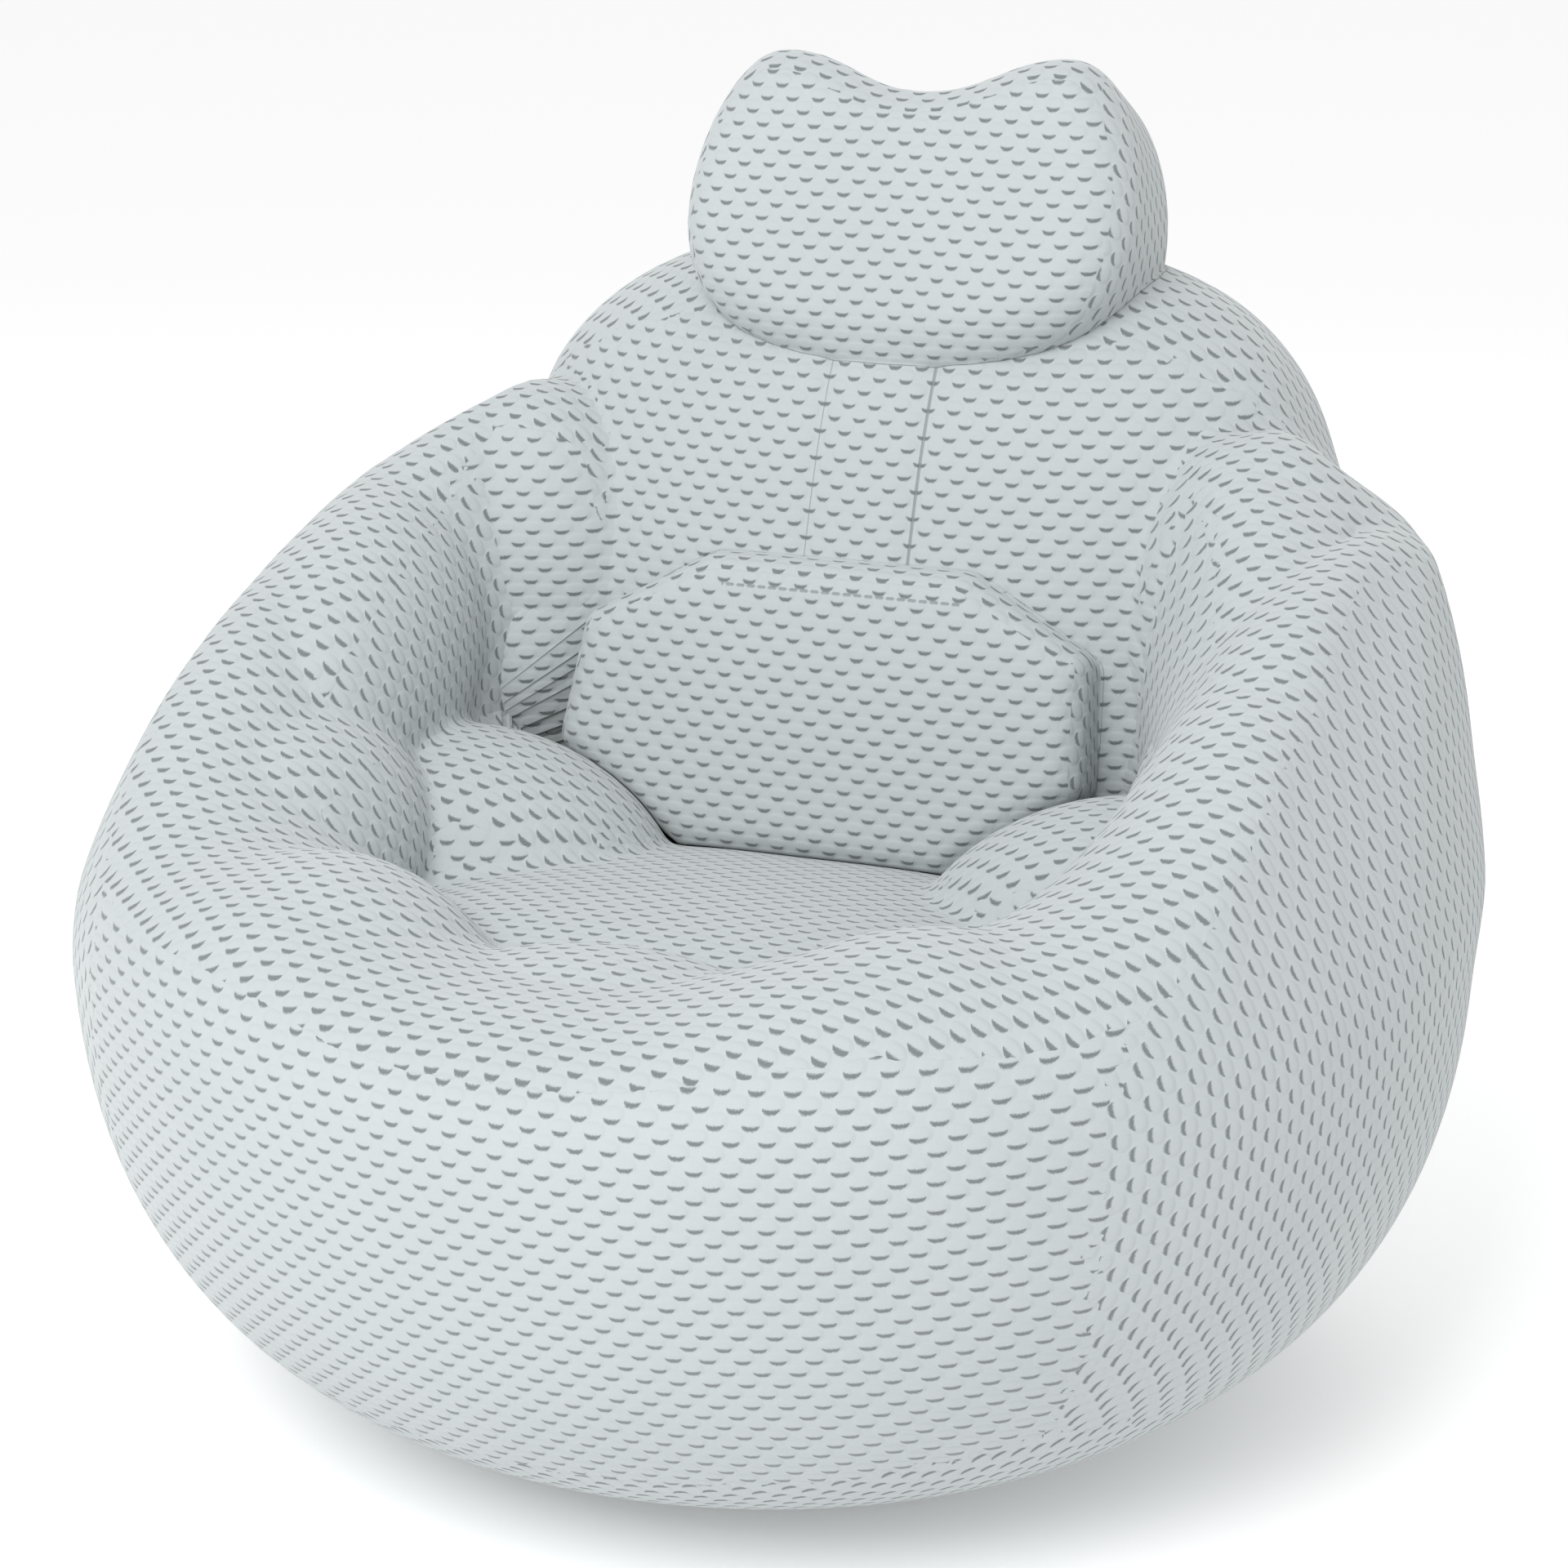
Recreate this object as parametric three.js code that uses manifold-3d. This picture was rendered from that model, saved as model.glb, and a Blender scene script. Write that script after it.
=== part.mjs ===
// Bean bag chair: a round bead-filled body with padded arms, a backrest and a seat,
// a loose lumbar cushion and a lift-off headrest pillow.
// Millimetres, +Z up, front towards -Y, origin on the floor under the body's axis.
// Left and right are as seen by someone who faces the front of the chair.

import * as THREE from 'three';
import { mergeVertices } from 'three/addons/utils/BufferGeometryUtils.js';
import Module from 'manifold-3d';

const wasm = await Module();
wasm.setup();

// ---------- Cloth, liners and clearances ----------
const coverWall = 3;            // bubble-knit cover cloth
const linerWall = 1.5;          // inner bag that holds the beads
const layerGap = 0.5;           // between cover, liner and filling
const seamGap = 0.5;            // between the covers of two neighbouring chambers
const portLength = 60;          // filling port between a chamber and the body below it
const portWidth = 24;

// ---------- Round body ----------
const bodyRadius = 525;
const beltHeight = 370;         // where the body is widest
const footRadius = 245;         // flat part on the floor
const rimRadius = 425;          // circle of the rim's top
const rimHeight = 475;
const hollowRadius = 280;       // floor of the hollow that takes the seat
const hollowHeight = 352;
const basePanelRadius = 243;
const basePanelThickness = 3;

// ---------- Front roll: two swellings and the dip between them ----------
const rollRadii = [200, 150, 122];
const rollCentre = [200, -338, 395];
const rollTurn = 22;
const dipRadii = [180, 130, 122];
const dipCentre = [0, -358, 345];

// ---------- Seat ----------
const seatRadii = [262, 196, 75];
const seatCentre = [0, -112, 334];
const bolsterRadii = [132, 132, 85];
const bolsterCentre = [172, -60, 378];
const bolsterTilt = 14;

// ---------- Backrest ----------
const backRadii = [368, 187, 292];
const backCentre = [0, 312, 574];
const backRecline = 18;

// ---------- Arms: a low front lobe and a raised rear lobe ----------
const armFrontRadii = [142, 250, 165];
const armFrontCentre = [376, -118, 422];
const armFrontTilt = 12;
const armFrontTurn = 8;
const armRearRadii = [136, 268, 188];
const armRearCentre = [366, 140, 518];
const armRearTilt = 27;

// ---------- Lumbar cushion ----------
const lumbarHalfWidth = 215;
const lumbarHalfHeight = 127;
const lumbarTopHalfEdge = 107;
const lumbarBottomHalfEdge = 112;
const lumbarUpperCorner = 62;
const lumbarLowerCorner = 50;
const lumbarThickness = 84;
const lumbarBevel = 24;
const lumbarCentre = [0, 118, 510];
const lumbarRecline = 16;

// ---------- Headrest pillow ----------
const headHalfWidth = 176;
const headLobeOffset = 95;
const headLobeTop = 130;
const headDipTop = 95;
const headBottom = 118;
const headThickness = 170;
const headBevel = 48;
const headForward = 20.9;       // the headrest's centre from the patches: this far forwards
const headRise = 20.5;          // and this far up
const headRecline = 23;

// ---------- Hook-and-loop patches that hold the headrest ----------
const patchWidth = 110;
const patchDepth = 50;
const patchThickness = 1.6;
const patchForward = 17.5;      // the patches face up and this far forwards
const patchAcross = -0.3983;    // place on the backrest, as a share of its radius from front to back
const patchUp = 0.8948;         // and as a share of its upright radius
const patchGap = 0.3;
const shelfMargin = 14;         // flat shelf in the backrest round the patch
const shelfClearance = 60;      // height of the cutter that frees the shelf

// ---------- Zips ----------
const zipGap = 0.3;
const tapeWidth = 11;
const tapeThickness = 2.4;
const teethWidth = 5;
const teethProud = 0.8;
const sliderLift = 0.6;
const sliderLength = 13;
const sliderWidth = 11;
const sliderThickness = 4;
const sliderChamfer = 1;
const pullLength = 20;
const pullWidth = 7;
const pullThickness = 1.6;
const pullSunk = 0.8;           // how far the pull is rooted in the slider
const stopLength = 5;
const mainZipHeight = 250;
const mainZipSetBack = 9.87;    // the cover is set back this far along the zip
const mainZipMargin = 8;        // cloth set back round the tapes
const mainZipHalfAngle = 34;    // degrees each way from the middle of the back
const mainZipRestAngle = 31;    // the closed slider's place, measured the same way
const lumbarZipLength = 140;
const lumbarZipRest = 55;
const headZipLength = 190;
const headZipRest = 80;
const headZipRise = 50;         // the headrest's zip lies above the middle of its back

// ---------- Facets ----------
const bodySides = 20;
const lowerSteps = 4;
const upperSteps = 2;
const lobeSides = 12;
const lobeRings = 8;
const outlineSteps = 4;
const bevelSteps = 2;
const arcSteps = 6;

// ---------- Worked-out places ----------
const backTilt = THREE.MathUtils.degToRad(backRecline);
const patchSpot = [patchAcross * backRadii[1], patchUp * backRadii[2]];
const patchCentre = [
  0,
  backCentre[1] + patchSpot[0] * Math.cos(backTilt) + patchSpot[1] * Math.sin(backTilt),
  backCentre[2] - patchSpot[0] * Math.sin(backTilt) + patchSpot[1] * Math.cos(backTilt),
];
const headCentre = [0, patchCentre[1] - headForward, patchCentre[2] + headRise];
const zipBelowBelt = (beltHeight - mainZipHeight) / beltHeight;
const radiusAtZip = footRadius + (bodyRadius - footRadius) * Math.sqrt(1 - zipBelowBelt ** 2);
const mainZipRadius = radiusAtZip - mainZipSetBack;

// ---------- Worked-out zip sizes ----------
const slotHalfWidth = teethWidth / 2 + 2 * zipGap + tapeWidth;
const tapeOffset = teethWidth / 2 + zipGap + tapeWidth / 2;
const tapeFace = mainZipRadius - zipGap;
const sliderBase = teethProud + sliderLift;

// ---------- Helpers ----------
const radians = THREE.MathUtils.degToRad;
const degrees = THREE.MathUtils.radToDeg;
const insets = {
  cover: 0,
  coverInside: coverWall,
  liner: coverWall + layerGap,
  linerInside: coverWall + layerGap + linerWall,
  beads: coverWall + layerGap + linerWall + layerGap,
};

function solid(geometry) {
  const bare = geometry.clone();
  bare.deleteAttribute('normal');
  bare.deleteAttribute('uv');
  const merged = mergeVertices(bare, 1e-4);
  const corners = merged.index.array;
  const kept = [];
  for (let i = 0; i < corners.length; i += 3) {
    const [a, b, c] = corners.slice(i, i + 3);
    if (a !== b && b !== c && c !== a) kept.push(a, b, c);
  }
  return new wasm.Manifold(new wasm.Mesh({
    numProp: 3,
    vertProperties: new Float32Array(merged.attributes.position.array),
    triVerts: new Uint32Array(kept),
  }));
}

function geometryOf(manifold) {
  const mesh = manifold.getMesh();
  const geometry = new THREE.BufferGeometry();
  geometry.setAttribute('position', new THREE.BufferAttribute(mesh.vertProperties, 3));
  geometry.setIndex(new THREE.BufferAttribute(mesh.triVerts, 1));
  return geometry;
}

function joined(solids) {
  return solids.reduce((whole, piece) => whole.add(piece));
}

function without(whole, cutters) {
  return cutters.reduce((rest, cutter) => rest.subtract(cutter), whole);
}

function placed(geometry, centre, turns = [0, 0, 0]) {
  const euler = new THREE.Euler(radians(turns[0]), radians(turns[1]), radians(turns[2]), 'ZYX');
  const matrix = new THREE.Matrix4().makeRotationFromEuler(euler);
  matrix.setPosition(...centre);
  return geometry.clone().applyMatrix4(matrix);
}

function box(size, centre, turns) {
  return solid(placed(new THREE.BoxGeometry(...size), centre, turns));
}

function mirrored(point, side) {
  return [point[0] * side, point[1], point[2]];
}

// ---------- Soft lobes ----------
function lobe(radii, centre, turns, inset) {
  const geometry = new THREE.SphereGeometry(1, lobeSides, lobeRings);
  geometry.rotateX(Math.PI / 2);
  geometry.scale(...radii.map((radius) => radius - inset));
  return solid(placed(geometry, centre, turns));
}

function quarter(centre, radii, start, end, steps) {
  const curve = new THREE.EllipseCurve(...centre, ...radii, radians(start), radians(end), end < start);
  return curve.getPoints(steps);
}

function roundBody(inset) {
  const bottom = basePanelThickness + seamGap + inset;
  const outer = bodyRadius - inset;
  const floor = hollowHeight - inset;
  const profile = [
    new THREE.Vector2(0, bottom),
    ...quarter([footRadius, beltHeight], [outer - footRadius, beltHeight - bottom], -90, 0, lowerSteps),
    ...quarter([rimRadius, beltHeight], [outer - rimRadius, rimHeight - inset - beltHeight], 0, 90, upperSteps),
    ...quarter([rimRadius, floor], [rimRadius - hollowRadius - inset, rimHeight - hollowHeight], 90, 180,
      upperSteps),
    new THREE.Vector2(0, floor),
  ];
  const geometry = new THREE.LatheGeometry(profile, bodySides);
  geometry.rotateX(Math.PI / 2);
  return solid(geometry);
}

function frontRoll(inset) {
  return [-1, 1].map((side) => lobe(rollRadii, mirrored(rollCentre, side), [0, 0, side * rollTurn], inset));
}

function arm(side, inset) {
  return joined([
    lobe(armFrontRadii, mirrored(armFrontCentre, side), [armFrontTilt, 0, -side * armFrontTurn], inset),
    lobe(armRearRadii, mirrored(armRearCentre, side), [armRearTilt, 0, 0], inset),
  ]);
}

// A block above the patches' plane; its underside lies the given drop below that plane.
function patchCutter(margin, drop) {
  const tilt = radians(patchForward);
  const rise = shelfClearance / 2 - drop;
  const centre = [patchCentre[0], patchCentre[1] - rise * Math.sin(tilt), patchCentre[2] + rise * Math.cos(tilt)];
  return box([patchWidth + 2 * margin, patchDepth + 2 * margin, shelfClearance], centre, [patchForward, 0, 0]);
}

// The band along the main zip, from the cover's set-back face outwards.
function zipBand(inset) {
  const halfAngle = mainZipHalfAngle + gapAngle(mainZipMargin + inset);
  const width = 2 * (slotHalfWidth + mainZipMargin + inset);
  return solid(sector(mainZipRadius - inset, bodyRadius + mainZipMargin, halfAngle, width, mainZipHeight));
}

// Every chamber: its shape at an inset, and the chambers that it gives way to.
const chambers = {
  base: {
    shape: (inset) => joined([roundBody(inset), ...frontRoll(inset), lobe(dipRadii, dipCentre, [0, 0, 0], inset)])
      .subtract(zipBand(inset)),
    givesWayTo: [],
  },
  seat_pad: {
    shape: (inset) => lobe(seatRadii, seatCentre, [0, 0, 0], inset),
    givesWayTo: ['base'],
    port: { centre: [0, -112, 355], reach: 22 },
  },
  seat_bolster_left: {
    shape: (inset) => lobe(bolsterRadii, mirrored(bolsterCentre, -1), [0, bolsterTilt, 0], inset),
    givesWayTo: ['base', 'seat_pad'],
    port: { centre: [-205, -30, 357], reach: 30 },
  },
  seat_bolster_right: {
    shape: (inset) => lobe(bolsterRadii, bolsterCentre, [0, -bolsterTilt, 0], inset),
    givesWayTo: ['base', 'seat_pad'],
    port: { centre: [205, -30, 357], reach: 30 },
  },
  backrest: {
    shape: (inset) => lobe(backRadii, backCentre, [-backRecline, 0, 0], inset)
      .subtract(patchCutter(shelfMargin + inset, patchThickness + patchGap + inset)),
    givesWayTo: ['base', 'seat_pad', 'seat_bolster_left', 'seat_bolster_right'],
    port: { centre: [0, 350, 452], reach: 45 },
  },
  arm_left: {
    shape: (inset) => arm(-1, inset),
    givesWayTo: ['base', 'seat_pad', 'seat_bolster_left', 'backrest'],
    port: { centre: [-400, -40, 470], reach: 45 },
  },
  arm_right: {
    shape: (inset) => arm(1, inset),
    givesWayTo: ['base', 'seat_pad', 'seat_bolster_right', 'backrest'],
    port: { centre: [400, -40, 470], reach: 45 },
  },
};

function grown(names, inset) {
  return names.map((name) => chambers[name].shape(-(seamGap + inset)));
}

function chamber(name, inset) {
  return without(chambers[name].shape(inset), grown(chambers[name].givesWayTo, inset));
}

function port(name) {
  const { centre, reach } = chambers[name].port;
  return box([portLength, portWidth, 2 * reach], centre);
}

// ---------- Pillows: local X right, Y up, Z towards the sitter ----------
function pillow(outline, thickness, bevel, inset) {
  const geometry = new THREE.ExtrudeGeometry(outline, {
    depth: thickness - 2 * bevel - 2 * inset,
    bevelEnabled: true,
    bevelThickness: bevel,
    bevelSize: bevel,
    bevelOffset: -bevel - inset,
    bevelSegments: bevelSteps,
    curveSegments: outlineSteps,
  });
  geometry.translate(0, 0, bevel + inset - thickness / 2);
  return geometry;
}

function lumbarOutline() {
  return new THREE.Shape([
    new THREE.Vector2(-lumbarBottomHalfEdge, -lumbarHalfHeight),
    new THREE.Vector2(lumbarBottomHalfEdge, -lumbarHalfHeight),
    new THREE.Vector2(lumbarHalfWidth, -lumbarLowerCorner),
    new THREE.Vector2(lumbarHalfWidth, lumbarUpperCorner),
    new THREE.Vector2(lumbarTopHalfEdge, lumbarHalfHeight),
    new THREE.Vector2(-lumbarTopHalfEdge, lumbarHalfHeight),
    new THREE.Vector2(-lumbarHalfWidth, lumbarUpperCorner),
    new THREE.Vector2(-lumbarHalfWidth, -lumbarLowerCorner),
  ]);
}

function headOutline() {
  const side = headHalfWidth;
  const lobeEdge = (headHalfWidth + headLobeOffset) / 2;
  const shape = new THREE.Shape();
  shape.moveTo(0, -headBottom);
  shape.bezierCurveTo(headLobeOffset, -headBottom, side, -headBottom / 2, side, 0);
  shape.bezierCurveTo(side, headLobeTop / 2, lobeEdge, headLobeTop, headLobeOffset, headLobeTop);
  shape.bezierCurveTo(headLobeOffset / 2, headLobeTop, headLobeOffset / 2, headDipTop, 0, headDipTop);
  shape.bezierCurveTo(-headLobeOffset / 2, headDipTop, -headLobeOffset / 2, headLobeTop, -headLobeOffset,
    headLobeTop);
  shape.bezierCurveTo(-lobeEdge, headLobeTop, -side, headLobeTop / 2, -side, 0);
  shape.bezierCurveTo(-side, -headBottom / 2, -headLobeOffset, -headBottom, 0, -headBottom);
  return shape;
}

const lumbarTurns = [90 - lumbarRecline, 0, 0];
const headTurns = [90 - headRecline, 0, 0];

function lumbar(inset) {
  const shape = solid(placed(pillow(lumbarOutline(), lumbarThickness, lumbarBevel, inset), lumbarCentre,
    lumbarTurns));
  return without(shape, grown(Object.keys(chambers), inset));
}

function headrest(inset) {
  const shape = solid(placed(pillow(headOutline(), headThickness, headBevel, inset), headCentre, headTurns));
  const margin = 2 * (patchGap + inset);
  const pocket = box([patchWidth + margin, patchDepth + margin, 2 * (patchThickness + patchGap) + margin],
    patchCentre, [patchForward, 0, 0]);
  return without(shape, [...grown(['backrest'], inset), pocket]);
}

// ---------- Zips: local X along the tape, Y outwards from the cloth, Z across ----------
function sector(inner, outer, halfAngle, width, height) {
  const shape = new THREE.Shape();
  const start = radians(90 - halfAngle);
  const end = radians(90 + halfAngle);
  shape.absarc(0, 0, outer, start, end, false);
  shape.absarc(0, 0, inner, end, start, true);
  const geometry = new THREE.ExtrudeGeometry(shape, { depth: width, bevelEnabled: false, curveSegments: arcSteps });
  geometry.translate(0, 0, height - width / 2);
  return geometry;
}

function slider() {
  const half = sliderLength / 2 - sliderChamfer;
  const across = sliderWidth / 2 - sliderChamfer;
  const outline = new THREE.Shape([
    new THREE.Vector2(-half, -across),
    new THREE.Vector2(half, -across),
    new THREE.Vector2(half, across),
    new THREE.Vector2(-half, across),
  ]);
  const block = new THREE.ExtrudeGeometry(outline, {
    depth: sliderThickness - 2 * sliderChamfer,
    bevelThickness: sliderChamfer,
    bevelSize: sliderChamfer,
    bevelSegments: 1,
  });
  block.translate(0, 0, sliderBase + sliderChamfer);
  block.rotateX(-Math.PI / 2);
  const pull = box([pullWidth, pullThickness, pullLength],
    [0, sliderBase + sliderThickness + pullThickness / 2 - pullSunk, -pullLength / 2]);
  return solid(block).add(pull);
}

function gapAngle(length) {
  return degrees(length / mainZipRadius);
}

const mainTeethHalfAngle = mainZipHalfAngle - gapAngle(stopLength + zipGap);

function mainZipSlot() {
  const halfAngle = mainZipHalfAngle + gapAngle(zipGap);
  return solid(sector(mainZipRadius - 3 * slotHalfWidth, mainZipRadius + 3 * slotHalfWidth, halfAngle,
    2 * slotHalfWidth, mainZipHeight));
}

function linerSlit() {
  return solid(sector(mainZipRadius - 3 * slotHalfWidth, mainZipRadius + 3 * slotHalfWidth,
    mainZipHalfAngle / 2, teethWidth, mainZipHeight));
}

function mainZipStop(side) {
  const geometry = new THREE.BoxGeometry(stopLength, tapeThickness + teethProud, teethWidth);
  geometry.translate(0, tapeFace + (teethProud - tapeThickness) / 2, mainZipHeight);
  geometry.rotateZ(radians(side * (mainZipHalfAngle - gapAngle(stopLength / 2))));
  return geometry;
}

function mainZipSlider() {
  const geometry = geometryOf(slider());
  geometry.translate(0, tapeFace, mainZipHeight);
  geometry.rotateZ(radians(-mainZipRestAngle));
  return geometry;
}

function straightSlot(length) {
  const depth = coverWall + layerGap;
  return new THREE.BoxGeometry(length + 2 * zipGap, 2 * depth, 2 * slotHalfWidth);
}

// The tape's outer face lies zipGap below the cloth's outer face.
function straightZip(length, rest) {
  const tape = (side) => new THREE.BoxGeometry(length, tapeThickness, tapeWidth)
    .translate(0, -tapeThickness / 2, side * tapeOffset);
  return {
    tape_upper: tape(1),
    tape_lower: tape(-1),
    teeth: new THREE.BoxGeometry(length, tapeThickness + teethProud, teethWidth)
      .translate(0, (teethProud - tapeThickness) / 2, 0),
    slider: geometryOf(slider()).translate(rest, 0, 0),
  };
}

function inPillow(geometry, turn, offset, centre, turns) {
  const local = geometry.clone().rotateX(radians(turn)).translate(...offset);
  return placed(local, centre, turns);
}

// ---------- Materials ----------
function finish(color, roughness, metalness = 0) {
  return () => new THREE.MeshStandardMaterial({ color, roughness, metalness });
}

const cloth = finish(0xc1c9cc, 0.95);
const liner = finish(0xe6e6e2, 0.8);
const beads = finish(0xf4f4f2, 0.7);
const wadding = finish(0xeeeeea, 1);
const tape = finish(0xb4bcc0, 0.9);
const plastic = finish(0xa3abb0, 0.5);
const metal = finish(0x9aa0a4, 0.35, 0.8);
const antiSlip = finish(0x8f9699, 0.9);
const hookLoop = finish(0xb8bfc2, 1);

// ---------- Assembly ----------
const chair = new THREE.Group();

function node(name, geometry, material) {
  const mesh = new THREE.Mesh(geometry, material());
  mesh.name = name;
  chair.add(mesh);
}

function shell(outside, inside, openings) {
  return geometryOf(without(outside.subtract(inside), openings));
}

function addBase() {
  const panel = new THREE.CylinderGeometry(basePanelRadius, basePanelRadius, basePanelThickness, 2 * bodySides);
  panel.rotateX(Math.PI / 2).translate(0, 0, basePanelThickness / 2);
  node('base_panel', geometryOf(solid(panel)), antiSlip);
  const layers = Object.fromEntries(Object.entries(insets).map(([layer, inset]) => [layer, chamber('base', inset)]));
  node('base_cover', shell(layers.cover, layers.coverInside, [mainZipSlot()]), cloth);
  node('base_liner', shell(layers.liner, layers.linerInside, [linerSlit()]), liner);
  node('base_beads', geometryOf(layers.beads), beads);
}

function addBeadChamber(name) {
  node(`${name}_cover`, shell(chamber(name, insets.cover), chamber(name, insets.coverInside), [port(name)]), cloth);
  node(`${name}_liner`, shell(chamber(name, insets.liner), chamber(name, insets.linerInside), [port(name)]), liner);
  node(`${name}_beads`, geometryOf(chamber(name, insets.beads)), beads);
}

function addWaddedChamber(name) {
  node(`${name}_cover`, shell(chamber(name, insets.cover), chamber(name, insets.coverInside), [port(name)]), cloth);
  node(`${name}_wadding`, geometryOf(chamber(name, insets.liner)), wadding);
}

function addMainZip() {
  const inner = tapeFace - tapeThickness;
  const tapeAt = (offset) => sector(inner, tapeFace, mainZipHalfAngle, tapeWidth, mainZipHeight + offset);
  node('main_zip_tape_upper', geometryOf(solid(tapeAt(tapeOffset))), tape);
  node('main_zip_tape_lower', geometryOf(solid(tapeAt(-tapeOffset))), tape);
  node('main_zip_teeth', geometryOf(solid(sector(inner, tapeFace + teethProud, mainTeethHalfAngle, teethWidth,
    mainZipHeight))), plastic);
  node('main_zip_stop_left', geometryOf(solid(mainZipStop(1))), metal);
  node('main_zip_stop_right', geometryOf(solid(mainZipStop(-1))), metal);
  node('main_zip_slider', mainZipSlider(), metal);
}

function addStraightZip(name, length, rest, place) {
  const finishes = { tape_upper: tape, tape_lower: tape, teeth: plastic, slider: metal };
  for (const [piece, geometry] of Object.entries(straightZip(length, rest))) {
    node(`${name}_zip_${piece}`, geometryOf(solid(place(geometry))), finishes[piece]);
  }
}

function addLumbar() {
  const place = (geometry) => inPillow(geometry, 180, [0, zipGap - lumbarHalfHeight, 0], lumbarCentre, lumbarTurns);
  const slot = solid(place(straightSlot(lumbarZipLength)));
  node('lumbar_cover', shell(lumbar(insets.cover), lumbar(insets.coverInside), [slot]), cloth);
  node('lumbar_core', geometryOf(lumbar(insets.liner)), wadding);
  addStraightZip('lumbar', lumbarZipLength, lumbarZipRest, place);
}

function addHeadrest() {
  const offset = [0, headZipRise, zipGap - headThickness / 2];
  const place = (geometry) => inPillow(geometry, -90, offset, headCentre, headTurns);
  const slot = solid(place(straightSlot(headZipLength)));
  node('headrest_cover', shell(headrest(insets.cover), headrest(insets.coverInside), [slot]), cloth);
  node('headrest_core', geometryOf(headrest(insets.liner)), wadding);
  addStraightZip('headrest', headZipLength, headZipRest, place);
}

function patch(rise) {
  const tilt = radians(patchForward);
  const middle = rise + patchThickness / 2;
  const centre = [patchCentre[0], patchCentre[1] - middle * Math.sin(tilt), patchCentre[2] + middle * Math.cos(tilt)];
  return geometryOf(box([patchWidth, patchDepth, patchThickness], centre, [patchForward, 0, 0]));
}

addBase();
['backrest', 'arm_left', 'arm_right'].forEach(addBeadChamber);
['seat_pad', 'seat_bolster_left', 'seat_bolster_right'].forEach(addWaddedChamber);
addMainZip();
addLumbar();
addHeadrest();
node('headrest_loop_patch', patch(-patchThickness), hookLoop);
node('headrest_hook_patch', patch(patchGap), hookLoop);

export default chair;
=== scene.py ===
"""Bean bag chair: a round bead-filled body with padded arms, a backrest and a sunken seat,
a loose lumbar cushion and a lift-off headrest, all covered in a pale bubble-knit cloth.

Metres, +Z up, front towards -Y, origin on the floor under the body's axis.
"""

import logging
import math
from dataclasses import dataclass, field
from enum import Enum
from functools import partial
from typing import Callable, Iterable

import bmesh
import bpy
import numpy as np
from mathutils import Euler, Matrix, Vector
from mathutils.bvhtree import BVHTree


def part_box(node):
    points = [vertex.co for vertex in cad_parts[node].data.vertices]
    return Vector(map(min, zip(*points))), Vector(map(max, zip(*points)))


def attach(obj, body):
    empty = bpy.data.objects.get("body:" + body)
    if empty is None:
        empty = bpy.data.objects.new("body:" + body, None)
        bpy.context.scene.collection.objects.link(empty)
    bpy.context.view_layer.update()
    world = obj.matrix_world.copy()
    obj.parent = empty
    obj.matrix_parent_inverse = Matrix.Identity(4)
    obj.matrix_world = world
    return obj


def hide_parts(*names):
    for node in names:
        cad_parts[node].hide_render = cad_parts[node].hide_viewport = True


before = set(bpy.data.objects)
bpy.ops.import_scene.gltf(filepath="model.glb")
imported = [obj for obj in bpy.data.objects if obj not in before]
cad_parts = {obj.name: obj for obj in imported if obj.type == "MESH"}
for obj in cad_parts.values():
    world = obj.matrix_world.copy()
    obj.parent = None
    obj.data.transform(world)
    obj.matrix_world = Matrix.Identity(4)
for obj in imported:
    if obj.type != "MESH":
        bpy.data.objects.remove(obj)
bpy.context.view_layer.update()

LOG = logging.getLogger("bean_bag_chair")

Array = np.ndarray
Triple = tuple[float, float, float]


class Chamber(Enum):
    """The sewn chambers of the chair's body, in the order their labels use."""

    BASE = "base"
    BACKREST = "backrest"
    ARM_LEFT = "arm_left"
    ARM_RIGHT = "arm_right"
    SEAT = "seat_pad"
    BOLSTER_LEFT = "seat_bolster_left"
    BOLSTER_RIGHT = "seat_bolster_right"


CHAMBERS = list(Chamber)
BEAD_FILLED = (Chamber.BASE, Chamber.BACKREST, Chamber.ARM_LEFT, Chamber.ARM_RIGHT)


# ---------------------------------------------------------------- mesh helpers
NEIGHBOUR_REACH = 0.2


def smoothstep(low: float, high: float, value: Array | float) -> Array:
    """Smooth ramp from 0 at low to 1 at high.

    Args:
        low: where the ramp starts.
        high: where the ramp ends; may be below low for a falling ramp.
        value: a number or an array of them.

    Returns:
        The ramp's value, as an array.
    """
    share = np.clip((np.asarray(value, dtype=float) - low) / (high - low), 0.0, 1.0)
    return share * share * (3.0 - 2.0 * share)


def mesh_object(name: str, bm: bmesh.types.BMesh, smooth: bool = True) -> bpy.types.Object:
    """Turns a bmesh into a linked object and frees the bmesh.

    Args:
        name: the object's name.
        bm: the bmesh, in place.
        smooth: whether its faces are shaded smooth.

    Returns:
        The new object.
    """
    for face in bm.faces:
        face.smooth = smooth
    mesh = bpy.data.meshes.new(name)
    bm.to_mesh(mesh)
    bm.free()
    obj = bpy.data.objects.new(name, mesh)
    bpy.context.scene.collection.objects.link(obj)
    return obj


def signed_power(value: float, power: float) -> float:
    """The value's size raised to a power, with its sign kept."""
    return math.copysign(abs(value) ** power, value)


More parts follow.
